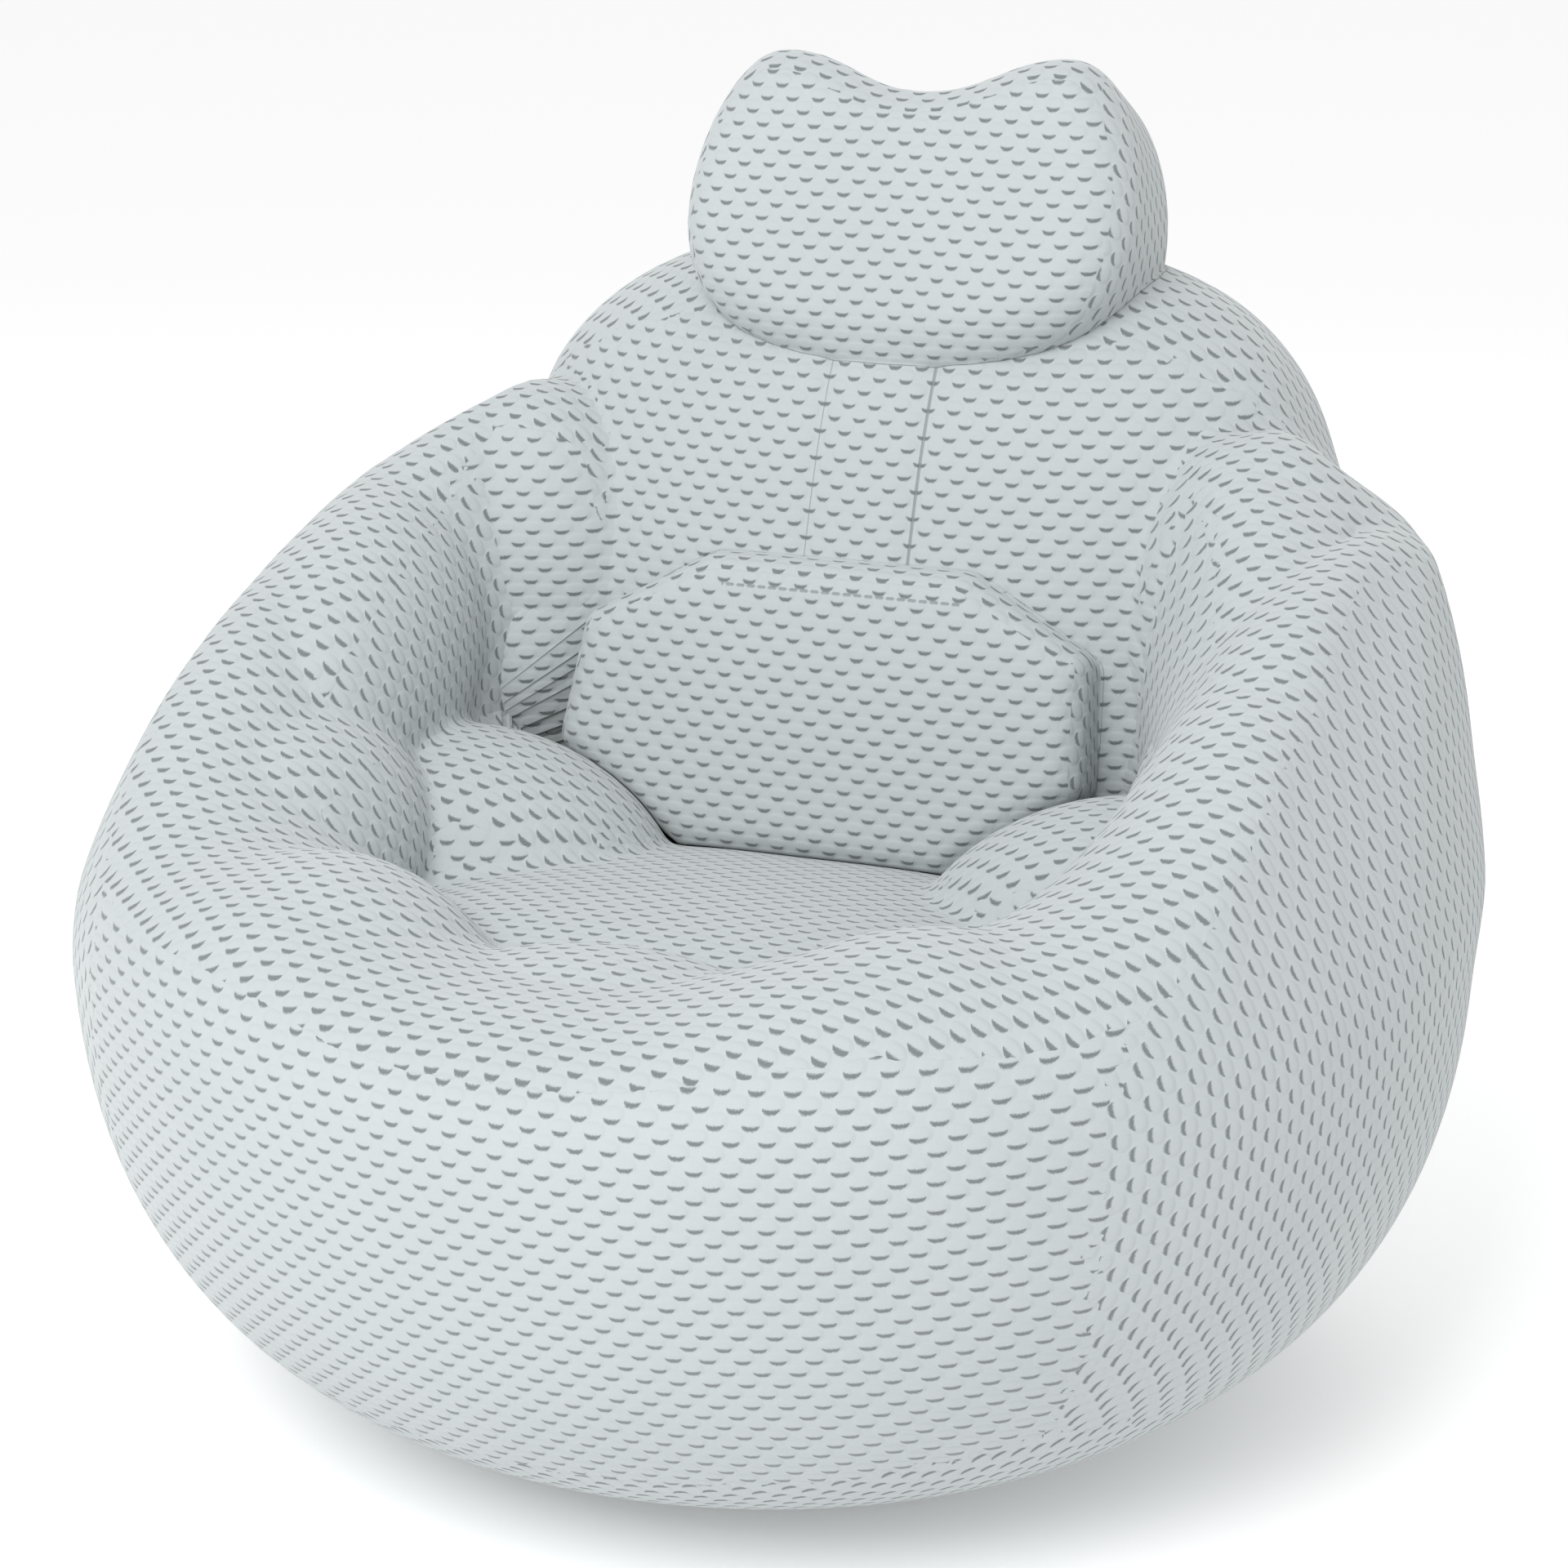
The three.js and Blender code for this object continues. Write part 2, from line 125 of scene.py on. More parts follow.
def remeshed(bm: bmesh.types.BMesh, voxel: float) -> tuple[Array, Array]:
    """Voxel-remeshes closed shells into one skin.

    Args:
        bm: the shells; it is freed.
        voxel: the voxel size.

    Returns:
        The skin's points and its four-cornered faces.
    """
    obj = mesh_object("skin_source", bm)
    modifier = obj.modifiers.new("voxels", "REMESH")
    modifier.mode = "VOXEL"
    modifier.voxel_size = voxel
    depsgraph = bpy.context.evaluated_depsgraph_get()
    mesh = bpy.data.meshes.new_from_object(obj.evaluated_get(depsgraph))
    points = np.empty(len(mesh.vertices) * 3)
    mesh.vertices.foreach_get("co", points)
    corners = np.empty(len(mesh.loops), dtype=np.int64)
    mesh.loops.foreach_get("vertex_index", corners)
    source = obj.data
    bpy.data.objects.remove(obj)
    bpy.data.meshes.remove(source)
    bpy.data.meshes.remove(mesh)
    return points.reshape(-1, 3), corners.reshape(-1, 4)


@dataclass
class Skin:
    """A closed surface of four-cornered faces that can be smoothed and sculpted."""

    points: Array
    faces: Array

    def __post_init__(self) -> None:
        """Works out the edges once."""
        sides = np.concatenate([self.faces[:, [k, (k + 1) % 4]] for k in range(4)])
        self.edges = np.unique(np.sort(sides, axis=1), axis=0)
        self.valence = np.bincount(self.edges.ravel(), minlength=len(self.points)).astype(float)

    def neighbour_mean(self, values: Array) -> Array:
        """The mean of every point's neighbours.

        Args:
            values: one row per point.

        Returns:
            The means, in the same shape.
        """
        first, second = self.edges[:, 0], self.edges[:, 1]
        columns = []
        for column in values.reshape(len(values), -1).T:
            total = np.bincount(first, column[second], len(values))
            total += np.bincount(second, column[first], len(values))
            columns.append(total / self.valence)
        return np.stack(columns, axis=1).reshape(values.shape)

    def relax(self, weights: Array | float, rounds: int) -> None:
        """Moves each point towards its neighbours' mean.

        Args:
            weights: share of the way that each point moves in a round.
            rounds: how many rounds.
        """
        share = np.broadcast_to(np.asarray(weights, dtype=float), (len(self.points),))[:, None]
        for _ in range(rounds):
            self.points = self.points + share * (self.neighbour_mean(self.points) - self.points)

    def normals(self) -> Array:
        """Unit normals of the points, from the diagonals of the faces round them.

        Returns:
            One row per point.
        """
        corner = self.points[self.faces]
        across = np.cross(corner[:, 2] - corner[:, 0], corner[:, 3] - corner[:, 1])
        total = np.zeros_like(self.points)
        for k in range(4):
            for axis in range(3):
                total[:, axis] += np.bincount(self.faces[:, k], across[:, axis], len(self.points))
        return total / np.maximum(np.linalg.norm(total, axis=1, keepdims=True), 1e-12)

    def tree(self) -> BVHTree:
        """A search tree over the faces."""
        return BVHTree.FromPolygons([tuple(p) for p in self.points], [tuple(f) for f in self.faces.tolist()])

    def conform(self, neighbours: Iterable[BVHTree], gap: float) -> None:
        """Pushes the points that lie inside neighbouring pieces out to a gap from them.

        Args:
            neighbours: search trees of closed pieces.
            gap: the clearance left.
        """
        for tree in neighbours:
            for index, point in enumerate(self.points):
                spot, normal, _, distance = tree.find_nearest(Vector(point), NEIGHBOUR_REACH)
                if spot is None:
                    continue
                side = (Vector(point) - spot).dot(normal)
                if side < 0.0 or distance < gap:
                    self.points[index] = spot + normal * gap

    def bmesh_of(self, chosen: Array | None = None) -> bmesh.types.BMesh:
        """A bmesh of the chosen faces.

        Args:
            chosen: a mask over the faces, or None for all of them.

        Returns:
            The bmesh, with only the points that those faces use.
        """
        faces = self.faces if chosen is None else self.faces[chosen]
        used, corners = np.unique(faces, return_inverse=True)
        bm = bmesh.new()
        verts = [bm.verts.new(point) for point in self.points[used]]
        for quad in corners.reshape(-1, 4).tolist():
            bm.faces.new([verts[k] for k in quad])
        bm.normal_update()
        return bm


# ---------------------------------------------------------------- lobes
@dataclass(frozen=True)
class Lobe:
    """One stuffed swelling: a rounded, optionally boxy, ellipsoid."""

    chamber: Chamber
    centre: Triple
    radii: Triple
    turns: Triple = (0.0, 0.0, 0.0)
    upright: float = 2.0
    around: float = 2.0
    segments: int = 64
    rings: int = 32

    def matrix(self) -> Matrix:
        """The lobe's place and turn."""
        turn = Euler([math.radians(angle) for angle in self.turns], "XYZ")
        return Matrix.Translation(self.centre) @ turn.to_matrix().to_4x4()

    def add_to(self, bm: bmesh.types.BMesh) -> None:
        """Adds the closed lobe to a bmesh.

        Args:
            bm: the bmesh to add to.
        """
        made = bmesh.ops.create_uvsphere(bm, u_segments=self.segments, v_segments=self.rings, radius=1.0)
        for vert in made["verts"]:
            flat = math.hypot(vert.co.x, vert.co.y)
            wide = signed_power(flat, 2.0 / self.upright)
            high = signed_power(vert.co.z, 2.0 / self.upright)
            if flat > 1e-9:
                vert.co.x = wide * signed_power(vert.co.x / flat, 2.0 / self.around)
                vert.co.y = wide * signed_power(vert.co.y / flat, 2.0 / self.around)
            vert.co.z = high
            vert.co = Vector(c * r for c, r in zip(vert.co, self.radii))
        bmesh.ops.transform(bm, matrix=self.matrix(), verts=made["verts"])

    def distance(self, points: Array) -> Array:
        """Roughly how far points are from the lobe's surface.

        Args:
            points: one row per point.

        Returns:
            The distances, always positive.
        """
        inverse = np.array(self.matrix().inverted())
        local = (points @ inverse[:3, :3].T + inverse[:3, 3]) / np.array(self.radii)
        flat = (np.abs(local[:, 0]) ** self.around + np.abs(local[:, 1]) ** self.around) ** (1 / self.around)
        size = (flat**self.upright + np.abs(local[:, 2]) ** self.upright) ** (1 / self.upright)
        reach = np.linalg.norm(local * np.array(self.radii), axis=1)
        return np.abs(reach * (1.0 - 1.0 / np.maximum(size, 1e-6)))


def pair(left: Chamber, right: Chamber, centre: Triple, radii: Triple, turns: Triple = (0, 0, 0),
         lean: float = 0.0) -> list[Lobe]:
    """A right-hand lobe and its mirror image.

    Args:
        left: the chamber of the lobe on the -X side.
        right: the chamber of the lobe on the +X side.
        centre: the right lobe's centre.
        radii: the lobes' radii.
        turns: the right lobe's turns in degrees.
        lean: how far the pair as a whole lies to the right.

    Returns:
        The two lobes.
    """
    x, y, z = centre
    pitch, roll, yaw = turns
    return [
        Lobe(right, (lean + x, y, z), radii, (pitch, roll, yaw)),
        Lobe(left, (lean - x, y, z), radii, (pitch, -roll, -yaw)),
    ]


@dataclass(frozen=True)
class BodySizes:
    """Sizes of the bead-filled body.

    The bowl is spun from foot to belt to rim to hollow, with a rim that rises from the front by the
    three rises. The blends are the lengths over which the skin is smoothed.
    """

    foot: float = 0.150
    settled: float = 0.243
    radius: float = 0.537
    belt: float = 0.390
    fullness: float = 2.3
    lean: float = -0.0165
    rim_radius: float = 0.425
    rim_height: float = 0.475
    hollow_radius: float = 0.280
    hollow_height: float = 0.352
    base_gap: float = 0.0035
    front_rim: float = 0.452
    roll_rise: float = 0.035
    arm_rise: float = 0.13
    back_rise: float = 0.115
    rear_draw: float = 0.055
    voxel: float = 0.0055
    quick_voxel: float = 0.0065
    inner_blend: float = 0.010
    outer_blend: float = 0.055
    mask_blend: float = 0.035
    swell_blend: float = 0.05
    sides: int = 144


@dataclass(frozen=True)
class HullSizes:
    """Shape of the smooth outside that the base and the arms share, above the belt.

    The fore curve holds beside the front of the arms and the aft curve beside their rear. Angles are
    degrees from the front.
    """

    base: float = 0.360
    fore_scale: float = 1.015
    fore_height: float = 0.70
    fore_power: float = 1.45
    steep_from: float = 0.28
    steepness: float = 0.6
    aft_scale: float = 1.022
    aft_height: float = 0.87
    aft_power: float = 2.25
    turn_from: float = 69.0
    turn_span: float = 42.0
    left_sag: float = 0.055
    pull_limit: float = 0.05
    pull_blend: float = 0.012
    edge_reach: float = 0.020
    edge_blend: float = 0.035


def body_lobes() -> list[Lobe]:
    """All the lobes of the body, apart from the round bowl.

    Returns:
        The lobes, with the chamber that each belongs to.
    """
    base = Chamber.BASE
    arms = (Chamber.ARM_LEFT, Chamber.ARM_RIGHT)
    bolsters = (Chamber.BOLSTER_LEFT, Chamber.BOLSTER_RIGHT)
    return [
        *pair(base, base, (0.225, -0.338, 0.370), (0.165, 0.122, 0.124), (0, 0, 32)),
        Lobe(base, (0.0, -0.360, 0.338), (0.200, 0.120, 0.122)),
        *pair(*arms, (0.370, -0.150, 0.430), (0.119, 0.140, 0.112), (12, 0, -12), lean=0.004),
        *pair(*arms, (0.390, 0.042, 0.542), (0.092, 0.225, 0.116), (23, 0, -7), lean=0.006),
        *pair(*arms, (0.314, 0.245, 0.524), (0.136, 0.132, 0.218), (14, 0, 0), lean=0.006),
        *pair(*bolsters, (0.240, -0.008, 0.384), (0.150, 0.125, 0.104), (0, -24, 0)),
        Lobe(Chamber.BACKREST, (-0.008, 0.312, 0.574), (0.380, 0.187, 0.292), (-18, 0, 0), 2.5, 2.3),
        Lobe(Chamber.SEAT, (0.0, -0.095, 0.342), (0.282, 0.232, 0.086), (-7, 0, 0), 2.8, 3.2),
    ]


# ---------------------------------------------------------------- zip places
@dataclass(frozen=True)
class ZipPlace:
    """Where a zip lies. Its own frame runs along it, out of the cloth and across it."""

    length: float
    to_zip: Callable[[Array], Array]
    from_zip: Callable[[Array], Array]


ZIP_GAP = 0.0003
TEETH_WIDTH = 0.005
TAPE_WIDTH = 0.011
SLOT_HALF_WIDTH = TEETH_WIDTH / 2 + 2 * ZIP_GAP + TAPE_WIDTH
CHANNEL_LIP = 0.0008
CHANNEL_SEARCH_DEPTH = 0.045
CUT_SPARE = 0.012
CUT_PROBE = 0.02


def curved_zip(radius: float, height: float, half_angle: float) -> ZipPlace:
    """A zip that runs round the back of the body.

    Args:
        radius: radius of the cloth's face along the zip.
        height: the zip's height above the floor.
        half_angle: how far it reaches each way, in radians.

    Returns:
        The zip's place.
    """

    def to_zip(points: Array) -> Array:
        """Turns places in the chair's frame into the zip's own.

        Args:
            points: one row per point.

        Returns:
            One row per point.
        """
        angle = np.arctan2(points[:, 0], points[:, 1])
        reach = np.hypot(points[:, 0], points[:, 1])
        return np.stack([angle * radius, reach - radius, points[:, 2] - height], axis=1)

    def from_zip(points: Array) -> Array:
        """Turns places in the zip's own frame into the chair's.

        Args:
            points: one row per point.

        Returns:
            One row per point.
        """
        angle = points[:, 0] / radius
        reach = points[:, 1] + radius
        return np.stack([reach * np.sin(angle), reach * np.cos(angle), points[:, 2] + height], axis=1)

    return ZipPlace(2 * half_angle * radius, to_zip, from_zip)


def straight_zip(origin: Vector, out: Vector, across: Vector, length: float) -> ZipPlace:
    """A straight zip that runs along X.

    Args:
        origin: the middle of the zip, on the cloth's face.
        out: the direction out of the cloth.
        across: the direction across the zip.
        length: the zip's length.

    Returns:
        The zip's place.
    """
    axes = np.array([across.cross(out) * -1.0, out, across])
    if axes[0, 0] < 0:
        axes[0] *= -1.0
    start = np.array(origin)
    return ZipPlace(
        length,
        lambda points: (points - start) @ axes.T,
        lambda points: points @ axes + start,
    )


def cut_zip_channel(bm: bmesh.types.BMesh, place: ZipPlace, band: float, fade: float, depth: float) -> None:
    """Lays the cloth flat round a zip and sinks a channel in it for the tapes.

    Args:
        bm: the cloth's mesh.
        place: where the zip lies.
        band: width of flat cloth past the channel.
        fade: width over which the flat cloth blends into the rest.
        depth: the channel's depth.
    """
    reach = SLOT_HALF_WIDTH + band + fade
    half = place.length / 2 + ZIP_GAP

    def local(verts: list) -> Array:
        """The corners' places in the zip's own frame."""
        return place.to_zip(np.array([vert.co for vert in verts]))

    def near(verts: list, spare: float) -> list:
        """Finds the corners that lie near the zip.

        Args:
            verts: the corners to choose from.
            spare: how much further than the flat cloth to look.

        Returns:
            The chosen corners.
        """
        spots = local(verts)
        inside = (np.abs(spots[:, 0]) < half + reach + spare) & (np.abs(spots[:, 2]) < reach + spare)
        inside &= np.abs(spots[:, 1]) < CHANNEL_SEARCH_DEPTH
        return [vert for vert, keep in zip(verts, inside) if keep]

    def slice_at(along: float, across: float, normal_along: bool) -> None:
        """Cuts the cloth near the zip by a plane, so that an edge of the channel runs there.

        Args:
            along: the plane's place along the zip.
            across: its place across the zip.
            normal_along: whether the plane faces along the zip instead of across it.
        """
        verts = near(list(bm.verts), CUT_SPARE)
        faces = {face for vert in verts for face in vert.link_faces}
        edges = {edge for face in faces for edge in face.edges}
        corners = {vert for face in faces for vert in face.verts}
        triple = np.array([
            [along, 0.0, across],
            [along, CUT_PROBE, across],
            [along, 0.0, across + CUT_PROBE],
        ])
        spot, outer, up = (Vector(p) for p in place.from_zip(triple))
        normal = (outer - spot).cross(up - spot) if normal_along else up - spot
        bmesh.ops.bisect_plane(bm, geom=[*corners, *edges, *faces], dist=1e-6, plane_co=spot,
                               plane_no=normal.normalized())

    for side in (-1, 1):
        for offset in (0.0, CHANNEL_LIP):
            slice_at(0.0, side * (SLOT_HALF_WIDTH + offset), False)
            slice_at(side * (half + offset), 0.0, True)
        slice_at(0.0, side * (SLOT_HALF_WIDTH + band), False)
    verts = near(list(bm.verts), 0.0)
    spots = local(verts)
    outside = np.maximum(np.abs(spots[:, 0]) - half, np.abs(spots[:, 2]) - SLOT_HALF_WIDTH)
    blend = smoothstep(band + fade, band, outside)
    flat = np.where(outside < CHANNEL_LIP / 2, -depth, 0.0)
    spots[:, 1] = spots[:, 1] * (1 - blend) + flat * blend
    for vert, spot in zip(verts, place.from_zip(spots)):
        vert.co = spot
    bm.normal_update()


# ---------------------------------------------------------------- materials
class Graph:
    """Short calls that add nodes to a shader tree and link them."""

    def __init__(self, tree: bpy.types.NodeTree) -> None:
        """Keeps the tree that nodes are added to."""
        self.tree = tree

    def feed(self, target: bpy.types.NodeSocket, value: object) -> None:
        """Links a socket or sets a constant on it.

        Args:
            target: the input socket.
            value: an output socket or a constant.
        """
        if isinstance(value, bpy.types.NodeSocket):
            self.tree.links.new(value, target)
        elif value is not None:
            target.default_value = value

    def math(self, operation: str, first: object, second: object = None, third: object = None,
             clamp: bool = False) -> bpy.types.NodeSocket:
        """A Math node.

        Args:
            operation: the node's operation.
            first: first input.
            second: second input.
            third: third input.
            clamp: whether the result is kept from 0 to 1.

        Returns:
            The output socket.
        """
        node = self.tree.nodes.new("ShaderNodeMath")
        node.operation = operation
        node.use_clamp = clamp
        for socket, value in zip(node.inputs, (first, second, third)):
            self.feed(socket, value)
        return node.outputs[0]

    def ramp(self, value: object, low: object, high: object) -> bpy.types.NodeSocket:
        """A smooth ramp from 0 at low to 1 at high.

        Args:
            value: the input.
            low: where the ramp starts.
            high: where it ends.

        Returns:
            The output socket.
        """
        node = self.tree.nodes.new("ShaderNodeMapRange")
        node.interpolation_type = "SMOOTHSTEP"
        self.feed(node.inputs["Value"], value)
        self.feed(node.inputs["From Min"], low)
        self.feed(node.inputs["From Max"], high)
        return node.outputs["Result"]

    def mix(self, share: object, first: object, second: object) -> bpy.types.NodeSocket:
        """Mixes two colours.

        Args:
            share: the second colour's share.
            first: a colour or socket.
            second: a colour or socket.

        Returns:
            The output socket.
        """
        node = self.tree.nodes.new("ShaderNodeMix")
        node.data_type = "RGBA"
        self.feed(node.inputs[0], share)
        self.feed(node.inputs[6], first)
        self.feed(node.inputs[7], second)
        return node.outputs[2]

    def split(self, vector: object) -> list[bpy.types.NodeSocket]:
        """The three parts of a vector.

        Args:
            vector: a vector or socket.

        Returns:
            The sockets of X, Y and Z.
        """
        node = self.tree.nodes.new("ShaderNodeSeparateXYZ")
        self.feed(node.inputs[0], vector)
        return list(node.outputs)

    def noise(self, vector: object, scale: float, detail: float = 2.0) -> bpy.types.NodeSocket:
        """A noise texture's value.

        Args:
            vector: the coordinates.
            scale: the noise's scale.
            detail: its detail.

        Returns:
            The output socket.
        """
        node = self.tree.nodes.new("ShaderNodeTexNoise")
        self.feed(node.inputs["Vector"], vector)
        node.inputs["Scale"].default_value = scale
        node.inputs["Detail"].default_value = detail
        return node.outputs["Fac"]


def opaque(colour: Triple) -> tuple[float, float, float, float]:
    """A colour with full opacity."""
    return (*colour, 1.0)


def node_group(name: str, inputs: dict[str, str], outputs: dict[str, str],
               fill: Callable[[Graph, dict, dict], None]) -> bpy.types.NodeTree:
    """Makes a shader node group.

    Args:
        name: the group's name.
        inputs: socket names and types that go in.
        outputs: socket names and types that come out.
        fill: adds the nodes, given the graph, the inputs' sockets and the outputs' sockets.

    Returns:
        The group's tree.
    """
    tree = bpy.data.node_groups.new(name, "ShaderNodeTree")
    for label, kind in inputs.items():
        tree.interface.new_socket(label, in_out="INPUT", socket_type=kind)
    for label, kind in outputs.items():
        tree.interface.new_socket(label, in_out="OUTPUT", socket_type=kind)
    entry = tree.nodes.new("NodeGroupInput")
    result = tree.nodes.new("NodeGroupOutput")
    given = {socket.name: socket for socket in entry.outputs if socket.name}
    out = {socket.name: socket for socket in result.inputs if socket.name}
    fill(Graph(tree), given, out)
    return tree


FLOAT = "NodeSocketFloat"
VECTOR = "NodeSocketVector"
COLOUR = "NodeSocketColor"


@dataclass(frozen=True)
class KnitSizes:
    """Sizes of the cloth's bubbles."""

    pitch: float = 0.0218
    period: float = 0.0201
    half_width: float = 0.0060
    half_height: float = 0.0042
    squareness: float = 2.4
    centre: float = 0.0006
    # lip_drop to lip_ragged shape the dark crescent under each bubble: painted shade, also sunk a little
    # into the relief.
    lip_drop: float = 0.0036
    lip_curl: float = 12000.0
    lip_half_width: float = 0.0058
    lip_thickness: float = 0.0015
    lip_ragged: float = 0.0020
    stipple: float = 0.0013
    panel_jumble: float = 0.16


@dataclass(frozen=True)
class KnitColours:
    """Colours of the cloth, mixed in the order given, and those of its sewn lines."""

    dim: Triple = (0.412, 0.446, 0.455)
    clear: Triple = (0.448, 0.482, 0.490)
    grain: Triple = (0.35, 0.384, 0.392)
    # painted highlight: the paler tone on the raised bubbles
    bubble: Triple = (0.53, 0.556, 0.562)
    stipple: Triple = (0.30, 0.334, 0.345)
    # painted shade: the dark crescent under each bubble's lower edge
    lip: Triple = (0.128, 0.146, 0.152)
    seam: Triple = (0.20, 0.235, 0.245)


KNIT_COLOURS = KnitColours()


def bubble_group(knit: KnitSizes) -> bpy.types.NodeTree:
    """One lattice of bubbles, each raised, with a dark crescent on its lower edge: painted shade under the
    bubble, over a shallow curled groove in the relief.

    Args:
        knit: sizes of the bubbles.

    Returns:
        The node group, with U, V, Shift, Ragged and Weight in and Raised and Lip Shade out, the mask of the
        painted shade crescent.
    """

    def fill(g: Graph, given: dict, out: dict) -> None:
        """Adds the lattice's nodes.

        Args:
            g: the group's graph.
            given: the sockets that go in, by name.
            out: the sockets that come out, by name.
        """
        column = g.math("FRACT", g.math("ADD", g.math("DIVIDE", given["U"], knit.pitch), given["Shift"]))
        row = g.math("FRACT", g.math("ADD", g.math("DIVIDE", given["V"], knit.period), given["Shift"]))
        x = g.math("MULTIPLY", g.math("SUBTRACT", column, 0.5), knit.pitch)
        y = g.math("MULTIPLY", g.math("SUBTRACT", row, 0.5), knit.period)
        wide = g.math("POWER", g.math("ABSOLUTE", g.math("DIVIDE", x, knit.half_width)), knit.squareness)
        high = g.math("DIVIDE", g.math("SUBTRACT", y, knit.centre), knit.half_height)
        high = g.math("POWER", g.math("ABSOLUTE", high), knit.squareness)
        size = g.math("ADD", wide, high)
        g.feed(out["Raised"], g.ramp(size, 2.3, 0.0))
        # the crescent under the bubble: painted shade, also a shallow groove in the height
        curl = g.math("MULTIPLY", g.math("POWER", g.math("ABSOLUTE", x), 3.0), knit.lip_curl)
        wobble = g.math("MULTIPLY", given["Ragged"], knit.lip_ragged)
        edge = g.math("ADD", g.math("SUBTRACT", y, curl), wobble)
        drop = g.math("ABSOLUTE", g.math("ADD", edge, knit.lip_drop))
        share = g.math("DIVIDE", g.math("ABSOLUTE", x), knit.lip_half_width)
        taper = g.math("SUBTRACT", 1.0, g.math("POWER", share, 4.0), clamp=True)
        band = g.math("MULTIPLY", g.math("MULTIPLY", taper, knit.lip_thickness), given["Weight"])
        inner = g.ramp(g.math("SUBTRACT", drop, band), 0.0006, -0.0010)
        g.feed(out["Lip"], g.math("MULTIPLY", inner, g.ramp(taper, 0.0, 0.35)))

    given = dict.fromkeys(("U", "V", "Shift", "Ragged", "Weight"), FLOAT)
    return node_group("Bubble Lattice", given, {"Raised": FLOAT, "Lip": FLOAT}, fill)


def knit_group(knit: KnitSizes) -> bpy.types.NodeTree:
    """The bubble knit, laid on the cloth from the front, from above and from the sides.

    Args:
        knit: sizes of the bubbles.

    Returns:
        The node group, with Position and Facing in and Colour, Height and Roughness out.
    """
    lattice = bubble_group(knit)

    def fill(g: Graph, given: dict, out: dict) -> None:
        """Adds the knit's nodes.

        Args:
            g: the group's graph.
            given: the sockets that go in, by name.
            out: the sockets that come out, by name.
        """
        px, py, pz = g.split(given["Position"])
        jumble = g.math("SUBTRACT", g.noise(given["Position"], 70.0), 0.5)
        jumble = g.math("MULTIPLY", jumble, knit.panel_jumble)
        nx, ny, nz = (g.math("ABSOLUTE", part) for part in g.split(given["Facing"]))
        nx = g.math("ADD", nx, jumble)
        side = g.math("GREATER_THAN", nx, g.math("MAXIMUM", ny, nz))
        not_side = g.math("SUBTRACT", 1.0, side)
        front = g.math("MULTIPLY", g.math("GREATER_THAN", g.math("ADD", ny, jumble), nz), not_side)
        not_front = g.math("SUBTRACT", 1.0, front)
        u = g.math("ADD", g.math("MULTIPLY", pz, side), g.math("MULTIPLY", px, not_side))
        v = g.math("ADD", g.math("MULTIPLY", pz, front), g.math("MULTIPLY", py, not_front))
        ragged = g.math("SUBTRACT", g.noise(given["Position"], 1100.0, 1.0), 0.5)
        flat = g.math("SUBTRACT", not_side, front)
        weight = g.math("MULTIPLY_ADD", flat, 0.25, 1.0)
        raised, lip = [], []
        for shift in (0.0, 0.5):
            node = g.tree.nodes.new("ShaderNodeGroup")
            node.node_tree = lattice
            g.feed(node.inputs["U"], u)
            g.feed(node.inputs["V"], v)
            g.feed(node.inputs["Ragged"], ragged)
            g.feed(node.inputs["Weight"], weight)
            node.inputs["Shift"].default_value = shift
            raised.append(node.outputs["Raised"])
            lip.append(node.outputs["Lip"])
        bump = g.math("MAXIMUM", *raised)
        dark = g.math("MAXIMUM", *lip)
        turns = math.tau / knit.stipple
        dots = g.math("MULTIPLY", g.math("SINE", g.math("MULTIPLY", u, turns)),
                      g.math("SINE", g.math("MULTIPLY", v, turns)))
        dots = g.math("MULTIPLY", g.ramp(dots, 0.1, 0.9), bump)
        cloudy = g.noise(given["Position"], 9.0, 3.0)
        grain = g.noise(given["Position"], 900.0, 2.0)
        pale = g.mix(cloudy, opaque(KNIT_COLOURS.dim), opaque(KNIT_COLOURS.clear))
        pale = g.mix(g.math("MULTIPLY", grain, 0.35), pale, opaque(KNIT_COLOURS.grain))
        # painted highlight: the raised bubbles a little paler
        pale = g.mix(g.math("MULTIPLY", bump, 0.12), pale, opaque(KNIT_COLOURS.bubble))
        pale = g.mix(g.math("MULTIPLY", dots, 0.35), pale, opaque(KNIT_COLOURS.stipple))
        # painted shade: the dark crescent under each bubble, mixed into the colour
        g.feed(out["Colour"], g.mix(g.math("MULTIPLY", dark, 0.92), pale, opaque(KNIT_COLOURS.lip)))
        height = g.math("SUBTRACT", bump, g.math("MULTIPLY", dark, 0.75))
        height = g.math("SUBTRACT", height, g.math("MULTIPLY", dots, 0.08))
        g.feed(out["Height"], g.math("ADD", height, g.math("MULTIPLY", grain, 0.10)))
        g.feed(out["Roughness"], g.math("MULTIPLY_ADD", grain, 0.12, 0.86))

    return node_group("Bubble Knit", {"Position": VECTOR, "Facing": VECTOR},
                      {"Colour": COLOUR, "Height": FLOAT, "Roughness": FLOAT}, fill)


@dataclass(frozen=True)
class Finish:
    """A plain finish."""

    name: str
    colour: Triple
    roughness: float
    metallic: float = 0.0
    grain: float = 0.0
    grain_scale: float = 400.0


